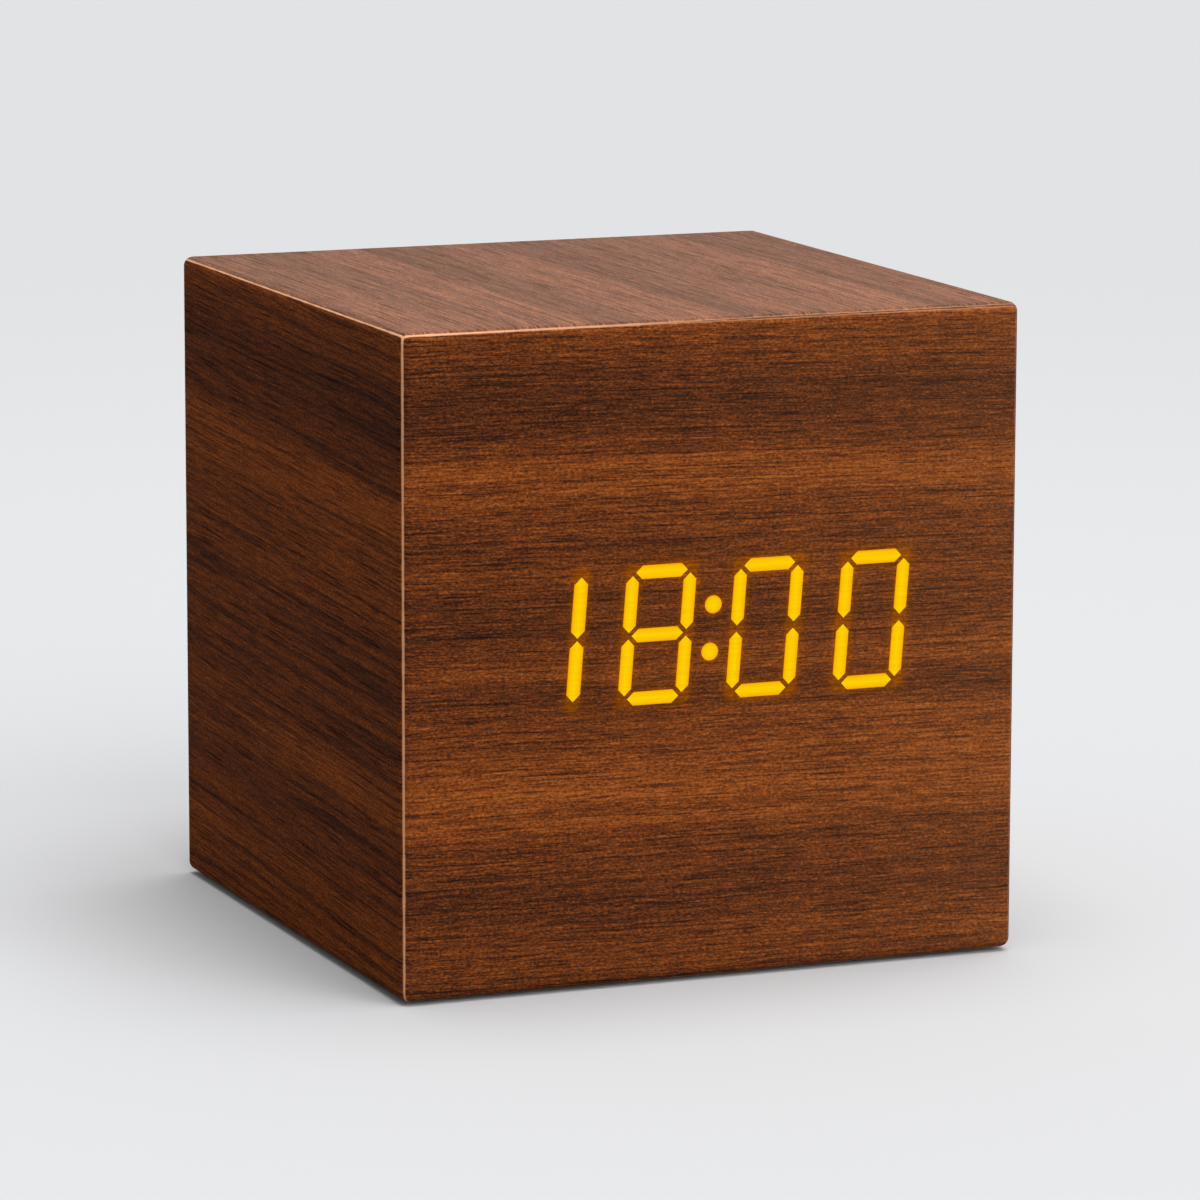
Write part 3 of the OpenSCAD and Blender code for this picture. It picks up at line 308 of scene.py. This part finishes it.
grain.links.new(ramp(grain, tone, walnut_tones), made["Color"])
grain.links.new(add(grain, "MapRange", pore, 0.0, 1.0, 0.48, 0.64), made["Roughness"])
relief = add(grain, "Math", pore, -0.8, thin, operation="MULTIPLY_ADD")
grain.links.new(relief, made["Height"])

cube_side, bottom = 68.0, 0.4
half, top = cube_side / 2, bottom + cube_side
line_inner, line_outer = 0.08, 0.28
seam_inner, seam_outer = 0.03, 0.13
# The edge mask marks sanded wood and a painted highlight along the rounded edges, fainter to the right and lower down;
# the seam mask marks the dark glue line, which shows towards the right.
edge_wear_and_highlight, given, made = effect("worn_and_highlit_edge", {"Vector": "Vector"}, {"Mask": "Float", "Seam": "Float"})
x, y, z = axes(edge_wear_and_highlight, given["Vector"])
from_side = add(edge_wear_and_highlight, "Math", half, add(edge_wear_and_highlight, "Math", x, operation="ABSOLUTE"), operation="SUBTRACT")
from_front = add(edge_wear_and_highlight, "Math", half, add(edge_wear_and_highlight, "Math", y, operation="ABSOLUTE"), operation="SUBTRACT")
below_top = add(edge_wear_and_highlight, "Math", top, z, operation="SUBTRACT")
upright = add(edge_wear_and_highlight, "Math", from_side, from_front, operation="MAXIMUM")
across = add(edge_wear_and_highlight, "Math", from_front, below_top, operation="MAXIMUM")
deep = add(edge_wear_and_highlight, "Math", from_side, below_top, operation="MAXIMUM")
nearest = add(edge_wear_and_highlight, "Math", upright, add(edge_wear_and_highlight, "Math", across, deep, operation="MINIMUM"), operation="MINIMUM")
closest = add(edge_wear_and_highlight, "Math", from_front, below_top, operation="MINIMUM")
closest = add(edge_wear_and_highlight, "Math", from_side, closest, operation="MINIMUM")
off_middle = add(edge_wear_and_highlight, "Math", nearest, closest, operation="SUBTRACT")
narrowing = add(edge_wear_and_highlight, "MapRange", from_front, 1.0, 6.0, 1.0, 1.5)
off_middle = add(edge_wear_and_highlight, "Math", off_middle, narrowing, operation="MULTIPLY")
widening = add(edge_wear_and_highlight, "MapRange", x, -6.0, 4.0, 1.0, 0.7)
off_middle = add(edge_wear_and_highlight, "Math", off_middle, widening, operation="MULTIPLY")
chips = add(edge_wear_and_highlight, "TexNoise", Vector=given["Vector"], Scale=0.5, Detail=1.0)
uneven = add(edge_wear_and_highlight, "Math", add(edge_wear_and_highlight, "Math", chips, -0.5, operation="ADD"), 0.2, off_middle, operation="MULTIPLY_ADD")
edge = add(edge_wear_and_highlight, "MapRange", uneven, line_inner, line_outer, 1.0, 0.0, interpolation_type="SMOOTHSTEP")
# Painted highlight: the pale line fades towards the right and a little lower down.
wear_and_highlight_falloff = add(edge_wear_and_highlight, "MapRange", x, -half, 0.0, 0.92, 0.36)
fainter_below = add(edge_wear_and_highlight, "MapRange", below_top, 1.0, 5.0, 1.0, 0.8)
wear_and_highlight_falloff = add(edge_wear_and_highlight, "Math", wear_and_highlight_falloff, fainter_below, operation="MULTIPLY")
edge_wear_and_highlight.links.new(add(edge_wear_and_highlight, "Math", edge, wear_and_highlight_falloff, operation="MULTIPLY"), made["Mask"])
seam = add(edge_wear_and_highlight, "MapRange", uneven, seam_inner, seam_outer, 1.0, 0.0, interpolation_type="SMOOTHSTEP")
darkening = add(edge_wear_and_highlight, "MapRange", x, -8.0, 2.0, 0.0, 0.85)
seam = add(edge_wear_and_highlight, "Math", seam, darkening, operation="MULTIPLY")
edge_wear_and_highlight.links.new(seam, made["Seam"])
# The pale edge colour is sanded wood and also a painted highlight, and the pale film is a painted sheen.
sanded_and_highlit_wood, glue_line, painted_sheen_film = (0.74, 0.37, 0.19, 1), (0.03, 0.012, 0.008, 1), (0.54, 0.28, 0.13, 1)


def walnut(
    name, along, across, start, bands, shift,
    painted_light_slope=0.0, tilt=0.0, lines=0.12, contrast=1.0, lustre=0.01, sheen_saturation=1.0, painted_sheen=(0.0, 0.0),
):
    """A walnut finish whose grain runs along one axis, or leans from it by a tilt. The bands give tones at
    distances in millimetres from the start of the sheet, across the grain. The painted light slope is a change
    of tone along the grain that paints light growing or fading across the sheet. The sheen saturation greys the
    wood, and the painted sheen gives the share of a pale film at the sheet's two ends, both as painted sheen."""
    material, tree, shader, place = new_finish(name)
    parts = axes(tree, place)
    through = 3 - along - across
    leaning = add(tree, "Math", parts[along], tilt, parts[across], operation="MULTIPLY_ADD")
    sheet = add(tree, "CombineXYZ", parts[along], leaning, parts[through])
    sheet = add(tree, "VectorMath", sheet, (0.0, 0.0, shift), operation="ADD")
    figure = apply(tree, flow, Vector=sheet, Bend=1.0, Ripple=0.2)["Vector"]
    swayed = axes(tree, figure)[1]
    share = add(tree, "MapRange", swayed, start, start + cube_side, 0.0, 1.0)
    tone = ramp(tree, share, [(d / cube_side, value) for d, value in bands], "EASE")
    # Painted light: the tone changes along the grain by the slope, a painted gradient of light.
    tone = add(tree, "Math", parts[along], painted_light_slope, tone, operation="MULTIPLY_ADD")
    wood = apply(tree, grain, Vector=figure, Tone=tone, Lines=lines, Contrast=contrast)
    edges = apply(tree, edge_wear_and_highlight, Vector=place)
    rubbed_and_highlit = edges["Mask"]
    # Painted sheen: the wood is greyed by the sheen saturation and mixed with a pale film.
    sheen_greyed = add(tree, "HueSaturation", Saturation=sheen_saturation, Color=wood["Color"])
    painted_sheen_share = add(tree, "MapRange", parts[along], -half, half, 0.0, 1.0)
    painted_sheen_share = add(tree, "Math", painted_sheen_share, 2.0, operation="POWER")
    painted_sheen_share = add(tree, "Math", painted_sheen_share, painted_sheen[1] - painted_sheen[0], painted_sheen[0], operation="MULTIPLY_ADD")
    sheen_greyed = mixed(tree, painted_sheen_share, sheen_greyed, painted_sheen_film)
    # The pale edge line is sanded wood and a painted highlight.
    colour = mixed(tree, rubbed_and_highlit, sheen_greyed, sanded_and_highlit_wood)
    colour = mixed(tree, edges["Seam"], colour, glue_line)
    surface(
        tree, shader, colour, wood["Roughness"], wood["Height"], 0.03,
        Specular_IOR_Level=lustre, Coat_Roughness=0.25,
    )
    tree.links.new(add(tree, "Math", rubbed_and_highlit, 0.3, operation="MULTIPLY"), shader.inputs["Coat Weight"])
    return material


front_bands = [
    (0, 0.5), (3, 0.52), (6, 0.44), (9.5, 0.4), (14, 0.48), (17, 0.65), (20, 0.67), (24, 0.62), (27.5, 0.52),
    (30, 0.42), (33, 0.57), (35, 0.47), (38, 0.39), (42.5, 0.5), (45, 0.44), (49, 0.56), (53, 0.68), (55, 0.51),
    (57, 0.39), (60, 0.34), (62.5, 0.41), (64, 0.52), (68, 0.57),
]
side_bands = [
    (0, 0.48), (4, 0.5), (7, 0.55), (9, 0.46), (13, 0.43), (15, 0.35), (17, 0.48), (21, 0.6), (23, 0.47),
    (25, 0.39), (28, 0.44), (36, 0.46), (40, 0.51), (45, 0.52), (48, 0.59), (51, 0.64), (53, 0.47), (55, 0.37),
    (59, 0.37), (61, 0.3), (63, 0.4), (65.5, 0.51), (68, 0.51),
]
top_bands = [
    (0, 0.5), (4, 0.53), (8, 0.48), (13, 0.45), (14.5, 0.57), (19.5, 0.58), (21.5, 0.44), (26.5, 0.44), (28, 0.55),
    (34.5, 0.56), (36, 0.42), (40.5, 0.43), (42, 0.52), (51, 0.52), (53, 0.58), (57.5, 0.58), (59, 0.45),
    (63.5, 0.45), (65, 0.5), (68, 0.5),
]
right_bands = [
    (0, 0.5), (6, 0.42), (10, 0.58), (18, 0.62), (21, 0.4), (26, 0.44), (30, 0.56), (37, 0.6), (39, 0.44),
    (46, 0.38), (50, 0.56), (57, 0.62), (60, 0.44), (68, 0.52),
]
back_bands = [
    (0, 0.46), (4, 0.56), (11, 0.62), (15, 0.44), (19, 0.4), (24, 0.56), (33, 0.58), (36, 0.42), (44, 0.46),
    (48, 0.62), (54, 0.64), (58, 0.42), (63, 0.4), (68, 0.54),
]
ALONG_X, ALONG_Y, ALONG_Z = 0, 1, 2
# The front carries a pale film that grows towards its right end, a painted sheen, and is painted paler towards the
# right as painted light.
walnut_front = walnut(
    "walnut_front", ALONG_X, ALONG_Z, bottom, front_bands, 11.0,
    painted_light_slope=0.0012, tilt=0.02, lines=0.08, contrast=1.12, painted_sheen=(0.0, 0.045),
)
walnut_left = walnut(
    "walnut_left", ALONG_Y, ALONG_Z, bottom, side_bands, 37.0,
    tilt=-0.035, lines=0.2, contrast=0.84, lustre=0.002,
)
# The top is greyed and evenly filmed as painted sheen, and painted darker towards the back as painted light.
walnut_top = walnut(
    "walnut_top", ALONG_Y, ALONG_X, -half, top_bands, 61.0,
    painted_light_slope=-0.0018, lustre=0.013, sheen_saturation=0.84, painted_sheen=(0.094, 0.094),
)
walnut_right = walnut("walnut_right", ALONG_Y, ALONG_Z, bottom, right_bands, 83.0)
walnut_back = walnut("walnut_back", ALONG_X, ALONG_Z, bottom, back_bands, 107.0)
dress(walnut_front, "front_veneer")
dress(walnut_left, "left_veneer")
dress(walnut_top, "top_veneer")
dress(walnut_right, "right_veneer")
dress(walnut_back, "back_veneer")


# Lit segments
# Behind each segment the veneer is thinned until light comes through, so the digits glow amber in
# the wood. Light that strays in the sheet rims each segment with a narrow orange halo.
digit_w, digit_h, digit_pitch, stroke = 6.3, 12.95, 11.9, 1.4
display_x, display_z, slant = -0.4, 36.4, math.radians(4.4)
colon_r, colon_pitch, colon_rise = 0.93, 4.85, 0.25
outline, given, made = effect(
    "outline_distance",
    {"X": "Float", "Z": "Float", "Half Width": "Float", "Half Height": "Float"},
    {"Distance": "Float"},
)
over_x = add(outline, "Math", given["X"], operation="ABSOLUTE")
over_x = add(outline, "Math", over_x, given["Half Width"], operation="SUBTRACT")
over_z = add(outline, "Math", given["Z"], operation="ABSOLUTE")
over_z = add(outline, "Math", over_z, given["Half Height"], operation="SUBTRACT")
out_x = add(outline, "Math", over_x, 0.0, operation="MAXIMUM")
out_z = add(outline, "Math", over_z, 0.0, operation="MAXIMUM")
outside = add(outline, "CombineXYZ", out_x, out_z, 0.0)
outside = add(outline, "VectorMath", outside, operation="LENGTH").node.outputs["Value"]
inside = add(outline, "Math", add(outline, "Math", over_x, over_z, operation="MAXIMUM"), 0.0, operation="MINIMUM")
signed = add(outline, "Math", outside, inside, operation="ADD")
outline.links.new(add(outline, "Math", signed, operation="ABSOLUTE"), made["Distance"])

display, given, made = effect("display_distance", {"Vector": "Vector"}, {"Distance": "Float"})
x, y, z = axes(display, given["Vector"])
row_z = add(display, "Math", z, -display_z, operation="ADD")
row_x = add(display, "Math", row_z, -math.tan(slant), x, operation="MULTIPLY_ADD")
row_x = add(display, "Math", row_x, -display_x, operation="ADD")
fold = add(display, "Math", add(display, "Math", row_z, -colon_rise, operation="ADD"), operation="ABSOLUTE")
fold = add(display, "Math", fold, -colon_pitch / 2, operation="ADD")
strokes = [
    (-1.5 * digit_pitch + digit_w / 2, row_z, 0.0, digit_h / 2),
    (-0.5 * digit_pitch, row_z, digit_w / 2, digit_h / 2),
    (-0.5 * digit_pitch, row_z, digit_w / 2, 0.0),
    (0.5 * digit_pitch, row_z, digit_w / 2, digit_h / 2),
    (1.5 * digit_pitch, row_z, digit_w / 2, digit_h / 2),
]
dot = apply(display, outline, X=row_x, Z=fold, Half_Width=0.0, Half_Height=0.0)["Distance"]
nearest = add(display, "Math", dot, stroke / 2 - colon_r, operation="ADD")
for middle, height, half_w, half_h in strokes:
    beside = add(display, "Math", row_x, -middle, operation="ADD")
    distance = apply(display, outline, X=beside, Z=height, Half_Width=half_w, Half_Height=half_h)["Distance"]
    nearest = add(display, "Math", nearest, distance, operation="MINIMUM")
display.links.new(nearest, made["Distance"])

lit, tree, shader, place = new_finish("lit_veneer")
from_middle = apply(tree, display, Vector=place)["Distance"]
fibres = add(tree, "VectorMath", place, (0.12, 1.0, 3.2), operation="MULTIPLY")
fibres = add(tree, "TexNoise", Vector=fibres, Scale=1.0, Detail=2.0)
amber = ramp(tree, from_middle, [
    (0.0, (1.0, 0.64, 0.0012)), (0.36, (0.99, 0.575, 0.001)), (0.54, (0.98, 0.505, 0.0005)), (0.7, (0.92, 0.39, 0.0)),
])
shade = add(tree, "MapRange", fibres, 0.35, 0.65, 0.94, 1.0)
glow = mixed(tree, 1.0, amber, shade, "MULTIPLY")
tree.links.new(glow, shader.inputs["Emission Color"])
skin = ramp(tree, fibres, [(0.3, (0.012, 0.004, 0.0)), (0.7, (0.02, 0.007, 0.0))])
gloss = add(tree, "MapRange", fibres, 0.3, 0.7, 0.45, 0.6)
surface(tree, shader, skin, gloss, fibres, 0.01, Emission_Strength=1.0, Specular_IOR_Level=0.01)
dress(lit, "lit_hour_tens", "lit_hour_units", "lit_colon", "lit_minute_tens", "lit_minute_units")

tree = walnut_front.node_tree
shader = tree.nodes["Principled BSDF"]
from_rim = apply(tree, display, Vector=millimetres(tree))["Distance"]
from_rim = add(tree, "Math", from_rim, -stroke / 2, operation="ADD")
from_rim = add(tree, "Math", from_rim, 0.0, operation="MAXIMUM")


def fall_off(reach):
    """A share that falls from one at the rim of a segment, by a factor of e in so many millimetres."""
    return add(tree, "Math", add(tree, "Math", from_rim, -1 / reach, operation="MULTIPLY"), operation="EXPONENT")


near, far, painted_glow_share = fall_off(0.28), fall_off(2.2), fall_off(0.45)
halo = add(tree, "Math", near, 0.1, add(tree, "Math", far, 0.012, operation="MULTIPLY"), operation="MULTIPLY_ADD")
stray = mixed(tree, halo, (0, 0, 0, 1), (1.0, 0.26, 0.0, 1))
wood_colour = shader.inputs["Base Color"].links[0].from_socket
# Painted glow: close to each segment the wood's own colour is painted amber, standing in for the display's light on it.
glow_painted_wood = mixed(tree, 1.0, wood_colour, (1.0, 0.85, 0.2, 1), "MULTIPLY")
tree.links.new(mixed(tree, painted_glow_share, wood_colour, glow_painted_wood), shader.inputs["Base Color"])
tree.links.new(stray, shader.inputs["Emission Color"])
shader.inputs["Emission Strength"].default_value = 1.0


# Control panel and buttons
# The panel set into the back is moulded in black plastic. Three satin buttons stand through it,
# with a dot and two arrows sunk in their tops and filled with pale paint, and press red plungers on
# the switches behind.
button_plastic = moulded("button_plastic", (0.024, 0.024, 0.026), 0.2, 0.2, 0.4, 0.006)
tree = button_plastic.node_tree
shader = tree.nodes["Principled BSDF"]
x, y, z = axes(tree, millimetres(tree))
button_x, button_z, button_pitch, mark_floor = 7.0, 29.4, 9.25, 33.4
beside = add(tree, "Math", x, -button_x, operation="ADD")
beside = add(tree, "Math", beside, button_pitch / 2, -button_pitch / 2, operation="WRAP")
above = add(tree, "Math", z, -button_z, operation="ADD")
reach = add(tree, "CombineXYZ", beside, above, 0.0)
reach = add(tree, "VectorMath", reach, operation="LENGTH").node.outputs["Value"]
inside = add(tree, "MapRange", reach, 1.3, 1.4, 1.0, 0.0)
sunk = add(tree, "MapRange", y, mark_floor + 0.02, mark_floor + 0.08, 1.0, 0.0)
filled = add(tree, "Math", inside, sunk, operation="MULTIPLY")
plastic_colour = shader.inputs["Base Color"].links[0].from_socket
tree.links.new(mixed(tree, filled, plastic_colour, (0.5, 0.5, 0.48, 1)), shader.inputs["Base Color"])
plunger_plastic = moulded("plunger_plastic", (0.27, 0.03, 0.02), 0.12, 0.3, 0.4, 0.01)
dress(button_plastic, "set_button", "up_button", "down_button")
dress(plunger_plastic, "set_plunger", "up_plunger", "down_plunger")


# Power socket
# The socket is a folded shell of nickel-plated sheet with a black contact tongue inside. The battery
# contacts and their springs have the same plate.
nickel, tree, shader, place = new_finish("nickel_plate")
grains = apply(tree, speckle, Vector=place, Size=0.3)
plate = ramp(tree, grains["Broad"], [(0.3, (0.5, 0.49, 0.45)), (0.7, (0.66, 0.65, 0.6))])
gloss = add(tree, "MapRange", grains["Broad"], 0.3, 0.7, 0.16, 0.3)
surface(tree, shader, plate, gloss, grains["Fine"], 0.004, Metallic=1.0)
dress(nickel, "usb_shell", "contact_plates", "contact_springs")


# Ribbon cable
# A grey flat cable of fused wires joins the two boards. It ends in cream nylon headers that stand
# on the boards.
ribbon, tree, shader, place = new_finish("ribbon")
wires = add(tree, "TexWave", Vector=place, Scale=0.26, bands_direction="X")
grey = ramp(tree, wires, [(0.0, (0.2, 0.21, 0.23)), (0.6, (0.34, 0.35, 0.38))])
gloss = add(tree, "MapRange", wires, 0.0, 1.0, 0.6, 0.4)
surface(tree, shader, grey, gloss, wires, 0.2)
dress(ribbon, "ribbon_cable")
dress(moulded("cream_nylon", (0.74, 0.7, 0.58), 0.08, 0.3, 0.45, 0.01), "ribbon_headers")


# Battery cells and leads
# Three AAA cells lie side by side in the bay, in printed jackets with bare steel ends. Insulated
# leads carry their current from the solder tabs up to the display board.
dress(moulded("red_insulation", (0.43, 0.014, 0.014), 0.12, 0.4, 0.35, 0.01), "red_lead")
dress(moulded("black_insulation", (0.013, 0.013, 0.013), 0.2, 0.4, 0.35, 0.01), "black_lead")
cell, tree, shader, place = new_finish("cell_jacket")
x, y, z = axes(tree, place)
row = add(tree, "MapRange", add(tree, "Math", y, operation="ABSOLUTE"), 5.0, 6.0, -1.0, 1.0)
run = add(tree, "MapRange", add(tree, "Math", x, row, operation="MULTIPLY"), -25.0, 25.0, 0.0, 1.0)
steel, green, band = (0.6, 0.6, 0.58), (0.035, 0.14, 0.09), (0.5, 0.52, 0.48)
jacket = ramp(tree, run, [(0.0, steel), (0.12, green), (0.72, band), (0.95, steel)], "CONSTANT")
bare = ramp(tree, run, [(0.0, 1.0), (0.12, 0.0), (0.95, 1.0)], "CONSTANT")
grains = apply(tree, speckle, Vector=place, Size=0.5)
shade = add(tree, "MapRange", grains["Broad"], 0.3, 0.7, 0.85, 1.0)
gloss = add(tree, "MapRange", grains["Broad"], 0.3, 0.7, 0.24, 0.36)
surface(tree, shader, mixed(tree, 1.0, jacket, shade, "MULTIPLY"), gloss, grains["Fine"], 0.004)
tree.links.new(bare, shader.inputs["Metallic"])
dress(cell, "battery_cells")


# Feet
# Four pads of soft black rubber are pressed into shallow seats in the base. They lift the case off
# the table.
rubber = moulded("rubber", (0.022, 0.022, 0.022), 0.3, 0.25, 0.82, 0.03)
dress(rubber, "feet")


# Studio
# The clock stands on a pale sweep between wide soft lights above, in front and behind. The sweep is painted
# a little paler near the clock and greyer farther off, a painted pool of light. The sweep is open under the
# base, so that views from below show it lit. The camera has a long lens and looks a little down at the front
# left corner.
floor_half, opening_half = 6.0, 0.03
floor_mesh = bpy.data.meshes.new("floor")
sheet = bmesh.new()
bmesh.ops.create_grid(sheet, x_segments=1, y_segments=1, size=floor_half)
bmesh.ops.inset_region(
    sheet, faces=sheet.faces[:], thickness=floor_half - opening_half, use_boundary=True, use_even_offset=True
)
middle = min(sheet.faces, key=lambda face: face.calc_area())
bmesh.ops.delete(sheet, geom=[middle], context="FACES")
sheet.to_mesh(floor_mesh)
sheet.free()
floor = bpy.data.objects.new("floor", floor_mesh)
bpy.context.scene.collection.objects.link(floor)


def seen_directly(tree):
    """One where the camera sees a surface itself, or in metal or glass, and nothing for other light."""
    path = tree.nodes.new("ShaderNodeLightPath").outputs
    shown = add(tree, "Math", path["Is Camera Ray"], path["Is Glossy Ray"], operation="MAXIMUM")
    return add(tree, "Math", shown, path["Is Transmission Ray"], operation="MAXIMUM")


pale = bpy.data.materials.new("pale_floor")
pale.use_nodes = True
tree = pale.node_tree
tree.nodes.remove(tree.nodes["Principled BSDF"])
shown = seen_directly(tree)
spot = tree.nodes.new("ShaderNodeTexCoord").outputs["Object"]
reach = add(tree, "VectorMath", spot, operation="LENGTH").node.outputs["Value"]
away = add(tree, "MapRange", reach, 0.08, 0.6, 0.0, 1.0, interpolation_type="SMOOTHSTEP")
# Painted light: the sweep is painted paler near the clock and greyer farther off.
painted_lit_grey, painted_dim_grey, bounced_grey = (0.546, 0.551, 0.56, 1), (0.5, 0.505, 0.513, 1), (0.3, 0.3, 0.3, 1)
sweep = mixed(tree, away, painted_lit_grey, painted_dim_grey)
grey = mixed(tree, shown, bounced_grey, sweep)
paper = add(tree, "BsdfDiffuse", grey)
clear = add(tree, "BsdfTransparent")
under = tree.nodes.new("ShaderNodeNewGeometry").outputs["Backfacing"]
sides = add(tree, "MixShader", under, paper, clear)
tree.links.new(sides, tree.nodes["Material Output"].inputs["Surface"])
floor.data.materials.append(pale)

world = bpy.data.worlds.new("studio")
bpy.context.scene.world = world
world.use_nodes = True
tree = world.node_tree
shown = seen_directly(tree)
air = mixed(tree, shown, (0.4, 0.4, 0.405, 1), (0.8, 0.805, 0.82, 1))
tree.links.new(air, tree.nodes["Background"].inputs["Color"])

softboxes = [
    ("overhead", (0.1, -0.06, 0.98), 50, 2.55),
    ("front_right", (0.24, -0.85, 0.46), 60, 1.75),
    ("back_right", (0.5, 0.7, 0.5), 80, 0.35),
]
for name, source, width, strength in softboxes:
    light = bpy.data.lights.new(name, "SUN")
    light.angle = math.radians(width)
    light.energy = strength
    lamp = bpy.data.objects.new(name, light)
    lamp.rotation_euler = (-Vector(source)).to_track_quat("-Z", "Y").to_euler()
    bpy.context.scene.collection.objects.link(lamp)

azimuth, elevation, roll = (math.radians(a) for a in (-22.247, 10.099, 0.129))
camera_place = (-0.25084, -0.61635, 0.1524)
ahead, down = math.cos(elevation), -math.sin(elevation)
look = Vector((-math.sin(azimuth) * ahead, math.cos(azimuth) * ahead, down))
level = Vector((math.cos(azimuth), math.sin(azimuth), 0.0))
side = level * math.cos(roll) + level.cross(look) * math.sin(roll)
lens = bpy.data.cameras.new("camera")
lens.lens = 190.21
lens.sensor_width = 36.0
lens.clip_start = 0.01
camera = bpy.data.objects.new("camera", lens)
turn = Matrix((side, side.cross(look), -look)).transposed().to_4x4()
camera.matrix_world = Matrix.Translation(camera_place) @ turn
bpy.context.scene.collection.objects.link(camera)
bpy.context.scene.camera = camera
bpy.context.scene.view_settings.view_transform = "Standard"
